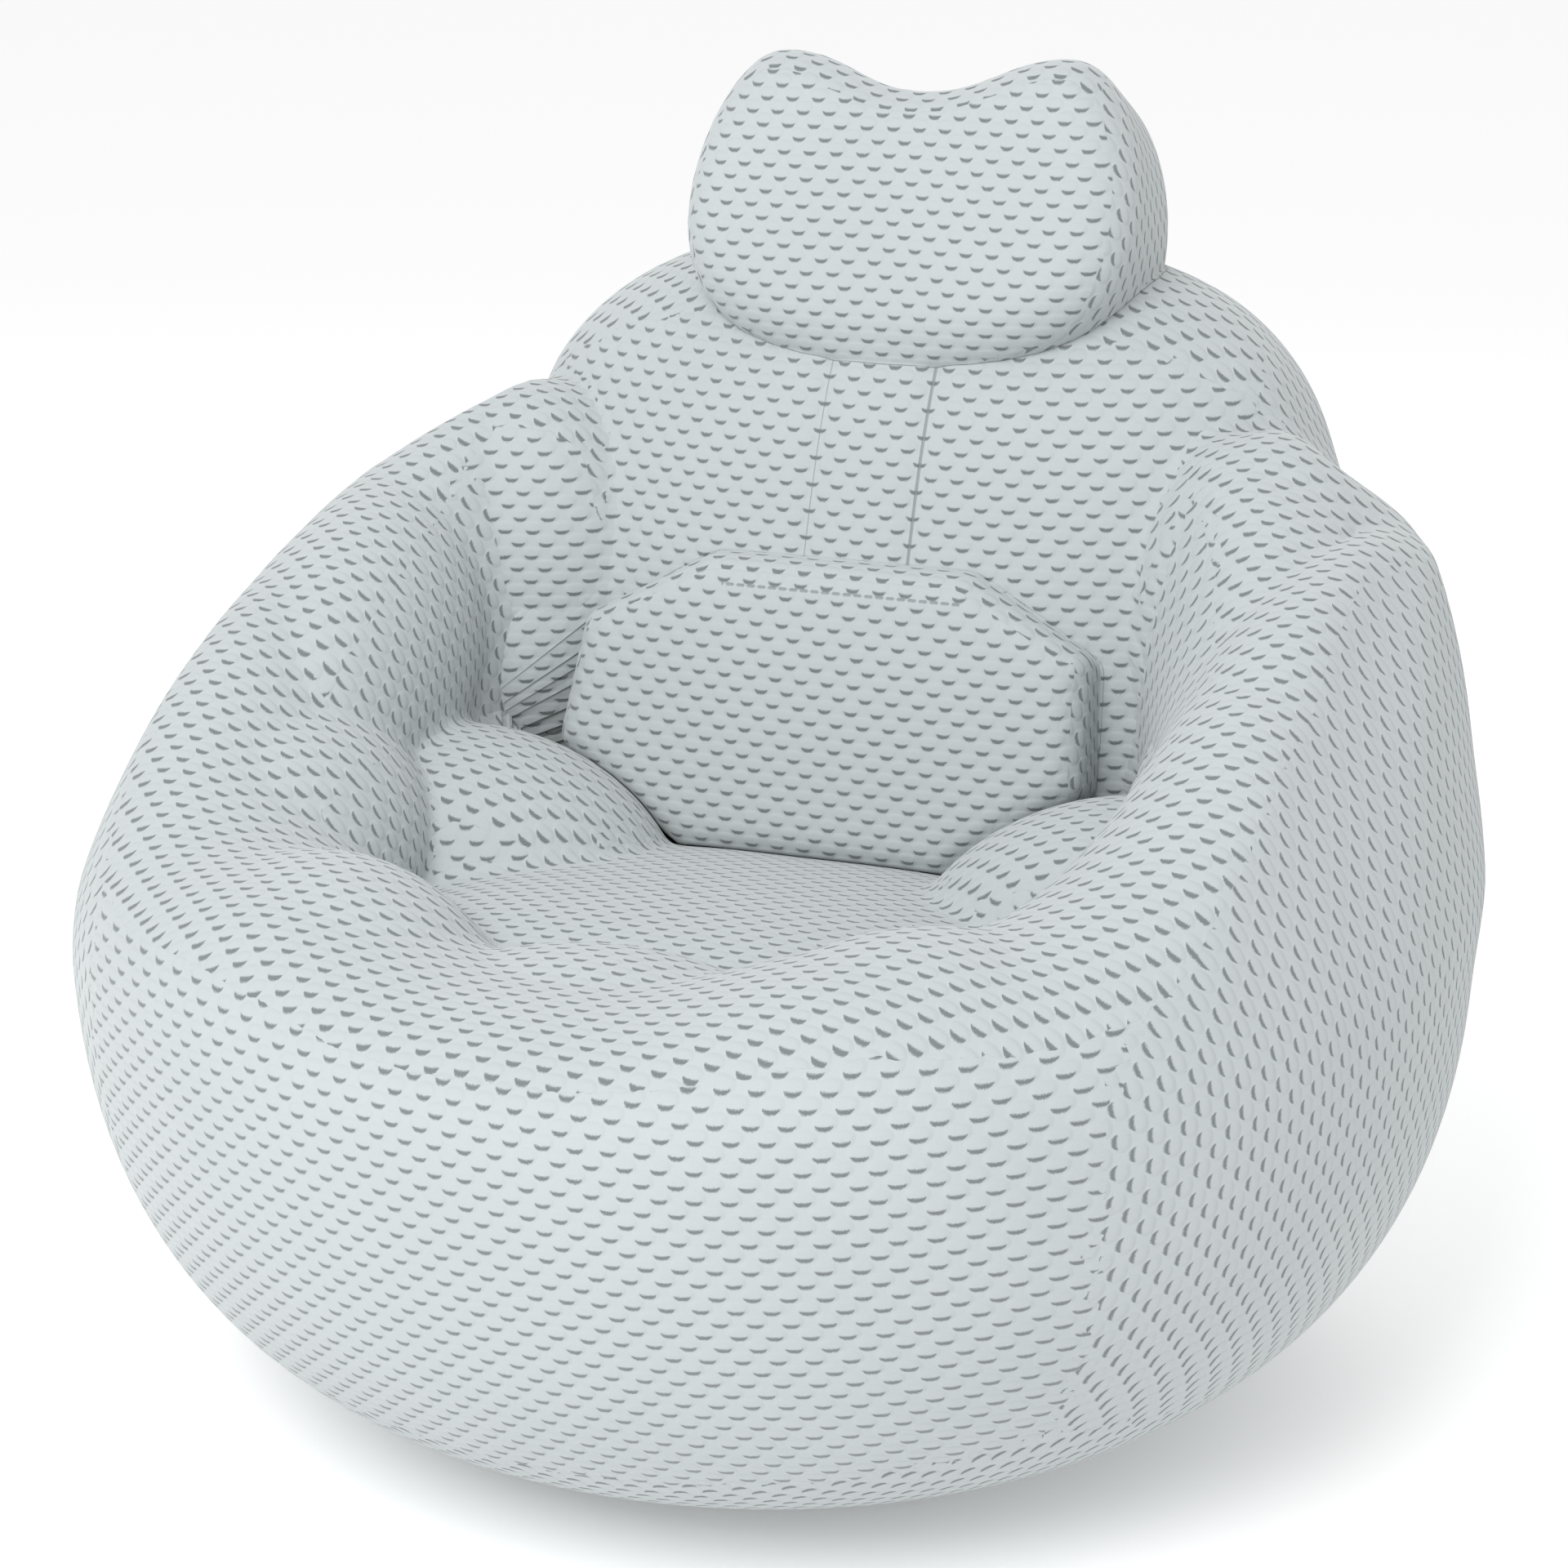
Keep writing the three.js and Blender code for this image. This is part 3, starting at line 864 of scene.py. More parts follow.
PLAIN = {
    "zip_tape": Finish("zip tape", (0.52, 0.58, 0.60), 0.9, grain=0.35, grain_scale=900.0),
    "zip_teeth": Finish("zip teeth", (0.42, 0.47, 0.49), 0.45),
    "zip_metal": Finish("zip metal", (0.55, 0.57, 0.58), 0.32, 1.0, grain=0.08),
    "anti_slip": Finish("anti-slip base cloth", (0.30, 0.33, 0.34), 0.92, grain=0.4, grain_scale=600.0),
    "hook_loop": Finish("hook and loop", (0.60, 0.65, 0.67), 1.0, grain=0.5, grain_scale=1200.0),
    "liner_cloth": Finish("liner cloth", (0.78, 0.78, 0.75), 0.85, grain=0.15, grain_scale=700.0),
    "beads": Finish("beads", (0.88, 0.88, 0.87), 0.7, grain=0.3, grain_scale=250.0),
    "wadding": Finish("wadding", (0.84, 0.84, 0.82), 1.0, grain=0.3, grain_scale=200.0),
}


class Materials:
    """Makes each finish once and hands it out by material slot."""

    def __init__(self) -> None:
        """Makes the shared node group."""
        self.knit = knit_group(KnitSizes())
        self.made: dict[str, bpy.types.Material] = {}

    @staticmethod
    def blank(name: str) -> tuple[bpy.types.Material, Graph, bpy.types.Node]:
        """A new material with only its Principled shader.

        Args:
            name: the material's name.

        Returns:
            The material, a graph on its tree and the Principled node.
        """
        material = bpy.data.materials.new(name)
        material.use_nodes = True
        shader = material.node_tree.nodes["Principled BSDF"]
        return material, Graph(material.node_tree), shader

    def plain(self, slot: str) -> bpy.types.Material:
        """The plain finish of a slot.

        Args:
            slot: the material slot's name.

        Returns:
            The material.
        """
        if slot not in self.made:
            finish = PLAIN[slot]
            material, g, shader = self.blank(finish.name)
            shader.inputs["Metallic"].default_value = finish.metallic
            place = g.tree.nodes.new("ShaderNodeTexCoord").outputs["Object"]
            speck = g.noise(place, finish.grain_scale)
            dark = tuple(c * (1 - finish.grain) for c in finish.colour)
            g.feed(shader.inputs["Base Color"], g.mix(speck, opaque(dark), opaque(finish.colour)))
            g.feed(shader.inputs["Roughness"], g.math("MULTIPLY_ADD", speck, 0.1, finish.roughness - 0.05))
            bump = g.tree.nodes.new("ShaderNodeBump")
            bump.inputs["Distance"].default_value = 0.0003
            bump.inputs["Strength"].default_value = 0.5
            g.feed(bump.inputs["Height"], speck)
            g.feed(shader.inputs["Normal"], bump.outputs[0])
            self.made[slot] = material
        return self.made[slot]

    def cloth(self, name: str, seam: Callable[[Graph, object], object] | None = None) -> bpy.types.Material:
        """The bubble-knit cover cloth.

        Args:
            name: the material's name.
            seam: given the graph and the position, the distance to a seam line.

        Returns:
            The material.
        """
        if name not in self.made:
            material, g, shader = self.blank(name)
            place = g.tree.nodes.new("ShaderNodeTexCoord")
            cloth = g.tree.nodes.new("ShaderNodeGroup")
            cloth.node_tree = self.knit
            g.feed(cloth.inputs["Position"], place.outputs["Object"])
            g.feed(cloth.inputs["Facing"], place.outputs["Normal"])
            colour, height = cloth.outputs["Colour"], cloth.outputs["Height"]
            if seam:
                line = g.ramp(seam(g, place.outputs["Object"]), 0.0016, 0.0004)
                colour = g.mix(g.math("MULTIPLY", line, 0.8), colour, opaque(KNIT_COLOURS.seam))
                height = g.math("SUBTRACT", height, g.math("MULTIPLY", line, 1.2))
            bump = g.tree.nodes.new("ShaderNodeBump")
            bump.inputs["Distance"].default_value = 0.0012
            bump.inputs["Strength"].default_value = 0.7
            g.feed(bump.inputs["Height"], height)
            g.feed(shader.inputs["Base Color"], colour)
            g.feed(shader.inputs["Roughness"], cloth.outputs["Roughness"])
            g.feed(shader.inputs["Normal"], bump.outputs[0])
            shader.inputs["Sheen Weight"].default_value = 0.25
            shader.inputs["Sheen Roughness"].default_value = 0.6
            shader.inputs["Specular IOR Level"].default_value = 0.25
            self.made[name] = material
        return self.made[name]


def finish_piece(piece: bpy.types.Object, material: bpy.types.Material, body: str,
                 nodes: Iterable[str] = ()) -> None:
    """Gives a piece its finish, says what it is to the frame and reports it.

    Args:
        piece: the piece.
        material: its material.
        body: the body it rides on.
        nodes: the CAD nodes it stands for.
    """
    piece.data.materials.clear()
    piece.data.materials.append(material)
    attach(piece, body)
    if nodes:
        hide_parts(*nodes)
    LOG.info("%s: %d faces", piece.name, len(piece.data.polygons))


# ---------------------------------------------------------------- the body
BACK_SEAM = 0.0435
SEAM_DEPTH = 0.0035
SEAM_WIDTH = 0.009
SEAM_STEP = 0.0009
PATCH_CENTRE = (0.0, 0.3219, 0.8455)
PATCH_TILT = 17.5
PATCH_FLAT = (0.058, 0.028)
PATCH_SINK = 0.0025


@dataclass
class Body:
    """The round body with its arms, backrest and seat."""

    sizes: BodySizes = field(default_factory=BodySizes)
    outside: HullSizes = field(default_factory=HullSizes)
    lobes: list[Lobe] = field(default_factory=body_lobes)
    pieces: dict[Chamber, bpy.types.Object] = field(default_factory=dict)
    CLOSERS = {
        Chamber.BASE: (0.0, 0.0, 0.12),
        Chamber.BACKREST: (0.0, 0.34, 0.50),
        Chamber.ARM_LEFT: (-0.385, 0.02, 0.42),
        Chamber.ARM_RIGHT: (0.385, 0.02, 0.42),
        Chamber.SEAT: (0.0, -0.12, 0.34),
        Chamber.BOLSTER_LEFT: (-0.215, -0.03, 0.36),
        Chamber.BOLSTER_RIGHT: (0.215, -0.03, 0.36),
    }

    def middle(self, chamber: Chamber) -> Callable[[Array], Array]:
        """What a chamber's filling shrinks towards: a ring for the base, a spine for the others.

        Args:
            chamber: the chamber.

        Returns:
            A function from points to their places on the ring or the spine.
        """
        if chamber is Chamber.BASE:
            return bowl_middle
        centres = [lobe.centre for lobe in self.lobes if lobe.chamber is chamber]
        return partial(spine_middle, spine=centres)

    def rim(self, angle: Array) -> tuple[Array, Array]:
        """Height and radius of the bowl's rim.

        Args:
            angle: degrees from the front.

        Returns:
            The rim's height and radius there.
        """
        s = self.sizes
        height = s.front_rim + s.roll_rise * smoothstep(5, 32, angle)
        height = height + s.arm_rise * smoothstep(40, 85, angle) + s.back_rise * smoothstep(80, 125, angle)
        return height, s.rim_radius - s.rear_draw * smoothstep(45, 120, angle)

    def fore_edge(self, rise: Array) -> Array:
        """Radius of the outside beside the front of the arms.

        Args:
            rise: heights above the hull's base.

        Returns:
            The outside's radius there.
        """
        h = self.outside
        steep = h.steepness * np.maximum(rise - h.steep_from, 0.0)
        return self.sizes.radius * (h.fore_scale - (rise / h.fore_height) ** h.fore_power - steep)

    def hull(self, angle: Array, height: Array, left: Array) -> Array:
        """Radius of the smooth outside that the base and the arms share, above the belt.

        Args:
            angle: degrees from the front.
            height: heights above the floor.
            left: whether the points are on the left, where the arm sags in a little more.

        Returns:
            The outside's radius there.
        """
        h = self.outside
        rise = np.maximum(height - h.base, 0.0)
        aft = self.sizes.radius * (h.aft_scale - (rise / h.aft_height) ** h.aft_power)
        past = np.clip(angle - h.turn_from, 0.0, h.turn_span)
        turn = np.radians(past)
        fore = self.fore_edge(rise)
        sag = self.fore_edge(rise + np.where(left, h.left_sag, 0.0) * np.sin(turn))
        return np.minimum(fore + (aft - fore) * past / h.turn_span, sag / np.cos(turn))

    def shape_outside(self, skin: Skin, voxel: float) -> None:
        """Draws the outward faces of the base and the arms on to one smooth outside.

        Args:
            skin: the body's skin.
            voxel: the skin's coarseness.
        """
        s, h = self.sizes, self.outside
        across = skin.points[:, 0] - s.lean
        reach = np.hypot(across, skin.points[:, 1])
        aim = np.stack([across, skin.points[:, 1]], axis=1) / np.maximum(reach, 1e-6)[:, None]
        angle = np.degrees(np.arctan2(np.abs(across), -skin.points[:, 1]))
        outward = (skin.normals()[:, :2] * aim).sum(axis=1)
        beside = smoothstep(46.0, 62.0, angle)
        share = smoothstep(0.05, 0.75, outward) * beside * smoothstep(150.0, 122.0, angle)
        share = share * smoothstep(s.belt - 0.02, s.belt + 0.03, skin.points[:, 2])
        hull = self.hull(angle, skin.points[:, 2], across < 0.0)
        pull = np.clip(hull - reach, -h.pull_limit, h.pull_limit) * share
        for _ in range(round((h.pull_blend / voxel) ** 2 * 4)):
            pull = skin.neighbour_mean(pull)
        skin.points[:, :2] += aim * pull[:, None]
        edge = 4.0 * share * (1.0 - share)
        for _ in range(round(h.edge_reach / voxel)):
            edge = skin.neighbour_mean(edge)
        skin.relax(0.6 * edge, round((h.edge_blend / voxel) ** 2))

    def add_bowl(self, bm: bmesh.types.BMesh) -> None:
        """Adds the round bowl, spun from its profile, with a rim that rises towards the back.

        Args:
            bm: the bmesh to add to.
        """
        s = self.sizes
        profile = [(0.0, s.base_gap), (s.foot, s.base_gap)]
        for step in range(1, 25):
            turn = math.radians(step * 90 / 24)
            out = math.sin(turn) ** (2 / s.fullness)
            up = 1 - math.cos(turn) ** (2 / s.fullness)
            profile.append((s.foot + (s.radius - s.foot) * out, s.base_gap + (s.belt - s.base_gap) * up))
        for step in range(1, 13):
            turn = math.radians(step * 90 / 12)
            profile.append((s.rim_radius + (s.radius - s.rim_radius) * math.cos(turn),
                            s.belt + (s.rim_height - s.belt) * math.sin(turn)))
        for step in range(1, 13):
            turn = math.radians(90 + step * 90 / 12)
            profile.append((s.rim_radius + (s.rim_radius - s.hollow_radius) * math.cos(turn),
                            s.hollow_height + (s.rim_height - s.hollow_height) * math.sin(turn)))
        profile.append((0.0, s.hollow_height))
        verts = [bm.verts.new((radius, 0.0, height)) for radius, height in profile]
        edges = [bm.edges.new(ends) for ends in zip(verts, verts[1:])]
        bmesh.ops.spin(bm, geom=[*verts, *edges], cent=(0, 0, 0), axis=(0, 0, 1), dvec=(0, 0, 0),
                       angle=math.tau, steps=s.sides, use_merge=True)
        bmesh.ops.remove_doubles(bm, verts=list(bm.verts), dist=1e-5)
        bmesh.ops.recalc_face_normals(bm, faces=list(bm.faces))
        for vert in bm.verts:
            radius = math.hypot(vert.co.x, vert.co.y)
            if radius < s.hollow_radius - 0.005 or vert.co.z <= s.belt:
                continue
            height, rim_radius = self.rim(math.degrees(math.atan2(abs(vert.co.x), -vert.co.y)))
            share = (vert.co.z - s.belt) / (s.rim_height - s.belt)
            scale = 1 - (s.rim_radius - float(rim_radius)) * min(1.0, share) / radius
            vert.co = (vert.co.x * scale, vert.co.y * scale, s.belt + share * (float(height) - s.belt))
        for vert in bm.verts:
            vert.co.x += s.lean

    def skin(self) -> Skin:
        """The whole body as one smoothed skin.

        Returns:
            The skin.
        """
        s = self.sizes
        voxel = s.voxel
        bm = bmesh.new()
        self.add_bowl(bm)
        for lobe in self.lobes:
            lobe.add_to(bm)
        skin = Skin(*remeshed(bm, voxel))
        skin.relax(0.5, 2)
        self.smooth_outside(skin, voxel)
        self.shape_outside(skin, voxel)
        self.flatten_foot(skin)
        return skin

    def smooth_outside(self, skin: Skin, voxel: float) -> None:
        """Smooths the outward faces more than the creases, and keeps them as full as they were.

        Args:
            skin: the body's skin.
            voxel: the skin's coarseness.
        """
        s = self.sizes
        reach = np.hypot(skin.points[:, 0], skin.points[:, 1])
        outward = (skin.normals()[:, :2] * skin.points[:, :2]).sum(axis=1) / np.maximum(reach, 1e-6)
        outer = smoothstep(0.40, 0.85, outward) * smoothstep(0.39, 0.46, reach)
        outer = np.maximum(outer, smoothstep(s.belt - 0.04, s.belt - 0.12, skin.points[:, 2]))
        for _ in range(round(s.mask_blend / voxel)):
            outer = skin.neighbour_mean(outer)
        skin.relax(0.12, round((s.inner_blend / voxel) ** 2))
        before = skin.points.copy()
        skin.relax(0.6 * outer, round((s.outer_blend / voxel) ** 2))
        lost = ((before - skin.points) * skin.normals()).sum(axis=1)
        for _ in range(round((s.swell_blend / voxel) ** 2)):
            lost = skin.neighbour_mean(lost)
        skin.points = skin.points + skin.normals() * (lost * outer)[:, None]

    def flatten_foot(self, skin: Skin) -> None:
        """Lays the lowest part of the skin flat, where the body rests.

        Args:
            skin: the body's skin.
        """
        s = self.sizes
        reach = np.hypot(skin.points[:, 0], skin.points[:, 1])
        low = smoothstep(0.030, 0.012, skin.points[:, 2]) * smoothstep(s.settled + 0.09, s.settled, reach)
        skin.points[:, 2] += low * (s.base_gap - skin.points[:, 2])

    def labels(self, skin: Skin) -> Array:
        """The chamber that each face of the skin belongs to.

        Args:
            skin: the body's skin.

        Returns:
            One chamber index per face.
        """
        points = skin.points
        nearest = np.full((len(CHAMBERS), len(points)), np.inf)
        for lobe in self.lobes:
            index = CHAMBERS.index(lobe.chamber)
            nearest[index] = np.minimum(nearest[index], lobe.distance(points))
        height, rim_radius = self.rim(np.degrees(np.arctan2(np.abs(points[:, 0]), -points[:, 1])))
        reach = np.hypot(points[:, 0], points[:, 1])
        s = self.sizes
        above = points[:, 2] > s.belt
        over = np.clip((points[:, 2] - s.belt) / (height - s.belt), 0.0, 1.0)
        wall = rim_radius + (s.radius - rim_radius) * np.sqrt(np.maximum(1 - over**2, 0.0))
        outer = np.where(above, np.abs(reach - wall), np.where(reach > 0.3, 0.0, np.inf))
        nearest[0] = np.minimum(nearest[0], outer)
        score = skin.neighbour_mean(nearest.T.clip(max=0.2))
        for _ in range(3):
            score = skin.neighbour_mean(score)
        face_score = score[skin.faces].mean(axis=1)
        label = face_score.argmin(axis=1)
        return self.tidy_labels(skin, label)

    @staticmethod
    def tidy_labels(skin: Skin, label: Array) -> Array:
        """Gives each chamber's stray islands to the faces round them.

        Args:
            skin: the body's skin.
            label: one chamber index per face.

        Returns:
            The labels, with one island per chamber.
        """
        count = len(skin.faces)
        sides = np.sort(np.concatenate([skin.faces[:, [k, (k + 1) % 4]] for k in range(4)]), axis=1)
        owner = np.tile(np.arange(count), 4)
        order = np.lexsort((sides[:, 1], sides[:, 0]))
        first, second = owner[order][0::2], owner[order][1::2]
        for _ in range(6):
            island = np.arange(count)
            same = label[first] == label[second]
            a, b = first[same], second[same]
            while True:
                lowest = np.minimum(island[a], island[b])
                before = island.copy()
                np.minimum.at(island, a, lowest)
                np.minimum.at(island, b, lowest)
                island = island[island]
                if np.array_equal(before, island):
                    break
            stray = np.zeros(count, dtype=bool)
            for index in range(len(CHAMBERS)):
                mine = np.flatnonzero(label == index)
                if len(mine) == 0:
                    continue
                names, sizes = np.unique(island[mine], return_counts=True)
                stray[mine[island[mine] != names[sizes.argmax()]]] = True
            if not stray.any():
                break
            for _ in range(200):
                border = (stray[first] & ~stray[second]) | (stray[second] & ~stray[first])
                if not border.any():
                    break
                a, b = first[border], second[border]
                take = np.where(stray[a], a, b)
                give = np.where(stray[a], b, a)
                label[take] = label[give]
                stray[take] = False
        return label

    def sculpt(self, skin: Skin) -> None:
        """Presses in the backrest's two seams and the flat place for the headrest's patch.

        Args:
            skin: the body's skin.
        """
        normals = skin.normals()
        points = skin.points
        rear = smoothstep(0.10, 0.13, points[:, 1]) * smoothstep(0.25, 0.5, -normals[:, 1])
        rear *= smoothstep(0.50, 0.56, points[:, 2])
        offset = np.abs(np.abs(points[:, 0]) - BACK_SEAM)
        groove = SEAM_DEPTH * np.exp(-((offset / SEAM_WIDTH) ** 2))
        points -= normals * (rear * groove)[:, None]
        tilt = math.radians(PATCH_TILT)
        up = Vector((0.0, -math.sin(tilt), math.cos(tilt)))
        ahead = Vector((0.0, math.cos(tilt), math.sin(tilt)))
        local = points - np.array(PATCH_CENTRE)
        rise = local @ np.array(up)
        half_width, half_depth = PATCH_FLAT
        run = np.maximum(np.abs(local[:, 0]) - half_width, np.abs(local @ np.array(ahead)) - half_depth)
        hold = smoothstep(0.022, 0.0, run) * (np.abs(rise) < 0.08)
        drop = np.where(rise > -PATCH_SINK, rise + PATCH_SINK, 0.0) * hold
        points -= np.array(up) * drop[:, None]

    @staticmethod
    def close(bm: bmesh.types.BMesh, deep: Triple) -> None:
        """Closes an open piece with a cone from its border to a point deep inside.

        Args:
            bm: the open piece.
            deep: the point.
        """
        border = [edge for edge in bm.edges if len(edge.link_faces) == 1]
        tip = bm.verts.new(deep)
        for edge in border:
            edge.smooth = False
            face = edge.link_faces[0]
            loop = next(loop for loop in face.loops if loop.edge == edge)
            bm.faces.new((loop.link_loop_next.vert, loop.vert, tip))
        for edge in tip.link_edges:
            edge.smooth = False
        bm.normal_update()

    def build(self, materials: Materials, main_zip: ZipPlace) -> Skin:
        """Makes the covers of all the chambers.

        Args:
            materials: the finishes.
            main_zip: where the rear zip lies.

        Returns:
            The whole skin, for the cushions to rest against.
        """
        skin = self.skin()
        self.sculpt(skin)
        label = self.labels(skin)
        for index, chamber in enumerate(CHAMBERS):
            bm = skin.bmesh_of(label == index)
            if chamber is Chamber.BASE:
                cut_zip_channel(bm, main_zip, band=0.008, fade=0.030, depth=0.0060)
            self.close(bm, self.CLOSERS[chamber])
            piece = mesh_object(f"{chamber.value}_cover_cloth", bm)
            if chamber is Chamber.BACKREST:
                cloth = materials.cloth("backrest cloth", backrest_seams)
            else:
                cloth = materials.cloth("cover cloth")
            finish_piece(piece, cloth, "chair", [f"{chamber.value}_cover"])
            self.pieces[chamber] = piece
        return skin


def backrest_seams(g: Graph, position: object) -> object:
    """Distance to the nearer of the backrest's two upright seams.

    Args:
        g: the graph.
        position: the position's socket.

    Returns:
        The distance's socket.
    """
    x, _, _ = g.split(position)
    away = g.math("ABSOLUTE", g.math("SUBTRACT", g.math("ABSOLUTE", x), BACK_SEAM))
    return g.math("ADD", away, g.math("MULTIPLY", g.math("LESS_THAN", x, 0.0), SEAM_STEP))


# ---------------------------------------------------------------- inner layers
BOWL_RING = 0.36
BOWL_FLOOR = 0.06
BOWL_CLIMB = 0.24


@dataclass(frozen=True)
class Layer:
    """One inner layer of a chamber: its piece, the CAD node it stands for and how it fills its cover."""

    piece: str
    node: str
    slot: str
    share: float
    voxel: float


BEAD_LAYERS = (
    Layer("liner_bag", "liner", "liner_cloth", 0.88, 0.012),
    Layer("bead_fill", "beads", "beads", 0.84, 0.014),
)
WADDED_LAYERS = (Layer("wadding_fill", "wadding", "wadding", 0.78, 0.010),)


def spine_middle(points: Array, spine: Iterable[Triple]) -> Array:
    """The nearest places on a spine that points shrink towards.

    Args:
        points: one row per point.
        spine: the spine's corners.

    Returns:
        One row per point.
    """
    corners = np.array(list(spine))
    best, least = np.tile(corners[0], (len(points), 1)), np.linalg.norm(points - corners[0], axis=1)
    for start, end in zip(corners, corners[1:]):
        along = np.clip((points - start) @ (end - start) / ((end - start) @ (end - start)), 0.0, 1.0)
        place = start + along[:, None] * (end - start)
        gap = np.linalg.norm(points - place, axis=1)
        best[gap < least] = place[gap < least]
        least = np.minimum(least, gap)
    return best


def bowl_middle(points: Array) -> Array:
    """The places in the middle of the bowl's filling that its points shrink towards.

    Args:
        points: one row per point.

    Returns:
        One row per point.
    """
    reach = np.hypot(points[:, 0], points[:, 1])
    held = np.minimum(reach, BOWL_RING)
    aim = points[:, :2] / np.maximum(reach, 1e-6)[:, None]
    return np.column_stack([aim * held[:, None], BOWL_FLOOR + BOWL_CLIMB * held / BOWL_RING])


def inner_layer(cover: bpy.types.Object, name: str, middle: Callable[[Array], Array], share: float,
                voxel: float) -> bpy.types.Object:
    """A coarser closed shape inside a cover.

    Args:
        cover: the finished cover.
        name: the layer's name.
        middle: gives the places deep inside the cover that its points shrink towards.
        share: the layer's size as a share of the cover's.
        voxel: the layer's coarseness.

    Returns:
        The layer.
    """
    bm = bmesh.new()
    bm.from_mesh(cover.data)
    bmesh.ops.remove_doubles(bm, verts=list(bm.verts), dist=1e-5)
    skin = Skin(*remeshed(bm, voxel))
    skin.relax(0.5, 4)
    deep = middle(skin.points)
    skin.points = deep + (skin.points - deep) * share
    return mesh_object(name, skin.bmesh_of())


# ---------------------------------------------------------------- cushions
@dataclass(frozen=True)
class Pillow:
    """A loose pillow: local X to the right, Y up its face and Z towards the sitter."""

    name: str
    body: str
    outline: list[tuple[float, float]]
    thickness: float
    bevel: float
    centre: Triple
    recline: float
    crown: float
    dish: float
    dish_width: float
    relax_rounds: int
    fill: float
    zip_middle: Triple
    zip_out: Triple
    zip_across: Triple
    zip_length: float
    voxel: float = 0.0045
    quick_voxel: float = 0.007

    def matrix(self) -> Matrix:
        """The pillow's place and turn."""
        return Matrix.Translation(self.centre) @ Matrix.Rotation(math.radians(90 - self.recline), 4, "X")

    def axis(self, local: Triple) -> Vector:
        """A local direction in the chair's frame."""
        return self.matrix().to_3x3() @ Vector(local)

    def skin(self) -> Skin:
        """The pillow's smoothed, crowned skin, in place.

        Returns:
            The skin.
        """
        bm = bmesh.new()
        verts = [bm.verts.new((x, y, -self.thickness / 2)) for x, y in self.outline]
        face = bm.faces.new(verts)
        made = bmesh.ops.extrude_face_region(bm, geom=[face])
        moved = [item for item in made["geom"] if isinstance(item, bmesh.types.BMVert)]
        bmesh.ops.translate(bm, verts=moved, vec=(0, 0, self.thickness))
        bmesh.ops.recalc_face_normals(bm, faces=list(bm.faces))
        rims = [edge for edge in bm.edges if abs(edge.verts[0].co.z - edge.verts[1].co.z) < 1e-6]
        bmesh.ops.bevel(bm, geom=rims, offset=self.bevel, segments=6, profile=0.5, affect="EDGES",
                        material=-1)
        skin = Skin(*remeshed(bm, self.voxel))
        skin.relax(0.5, self.relax_rounds)
        low, high = skin.points.min(axis=0), skin.points.max(axis=0)
        middle = (low + high) / 2
        half = (high - low) / 2
        across = (skin.points - middle) / half
        dome = (1 - across[:, 0] ** 2).clip(0) * (1 - across[:, 1] ** 2).clip(0)
        facing = skin.normals()[:, 2]
        skin.points[:, 2] += self.crown * dome * facing
        dip = np.exp(-((skin.points[:, 0] / self.dish_width) ** 2)) * smoothstep(0.3, 0.9, facing)
        skin.points[:, 2] -= self.dish * dip
        matrix = np.array(self.matrix())
        skin.points = skin.points @ matrix[:3, :3].T + matrix[:3, 3]
        return skin

    def zip_place(self) -> ZipPlace:
        """Where the pillow's zip lies."""
        origin = self.matrix() @ Vector(self.zip_middle)
        return straight_zip(origin, self.axis(self.zip_out), self.axis(self.zip_across), self.zip_length)

    def build(self, materials: Materials, rests_on: list[BVHTree],
              seam: Callable[[Graph, object], object] | None = None) -> None:
        """Makes the pillow's cover and core.

        Args:
            materials: the finishes.
            rests_on: search trees of what it lies against.
            seam: the distance to a seam line, if it has one.
        """
        skin = self.skin()
        skin.conform(rests_on, 0.0008)
        skin.relax(0.3, 2)
        bm = skin.bmesh_of()
        cut_zip_channel(bm, self.zip_place(), band=0.004, fade=0.012, depth=0.0050)
        cover = mesh_object(f"{self.name}_cover_cloth", bm)
        finish_piece(cover, materials.cloth(f"{self.name} cloth", seam), self.body,
                     [f"{self.name}_cover"])
        middle = partial(spine_middle, spine=[self.centre])
        core = inner_layer(cover, f"{self.name}_wadding_core", middle, 0.85, 0.008)
        finish_piece(core, materials.plain("wadding"), self.body, [f"{self.name}_core"])


def bezier(start: tuple, first: tuple, second: tuple, end: tuple, steps: int) -> list[tuple[float, float]]:
    """Points along a cubic curve, without its last point.

    Args:
        start: the curve's start.
        first: its first handle.
        second: its second handle.
        end: its end.
        steps: how many points.

    Returns:
        The points.
    """
    points = []
    for step in range(steps):
        t = step / steps
        weights = ((1 - t) ** 3, 3 * t * (1 - t) ** 2, 3 * t * t * (1 - t), t**3)
        points.append(tuple(sum(w * p[k] for w, p in zip(weights, (start, first, second, end)))
                            for k in range(2)))
    return points


def headrest_outline() -> list[tuple[float, float]]:
    """The headrest's face: two upper lobes with a dip between them and a round lower edge.

    Returns:
        The outline's points, anticlockwise.
    """
    side, lobe, top, dip, bottom = 0.190, 0.122, 0.132, 0.100, 0.130
    edge = (side + lobe) / 2
    right = (
        bezier((0, -bottom), (lobe + 0.012, -bottom), (side, -bottom * 0.62), (side, 0.0), 10)
        + bezier((side, 0.0), (side, top / 2), (edge, top), (lobe, top), 10)
        + bezier((lobe, top), (lobe * 0.55, top), (lobe * 0.45, dip), (0, dip), 8)
    )
    left = [(-x, y) for x, y in reversed(right[1:])]
    return [*right, (0, dip), *left]


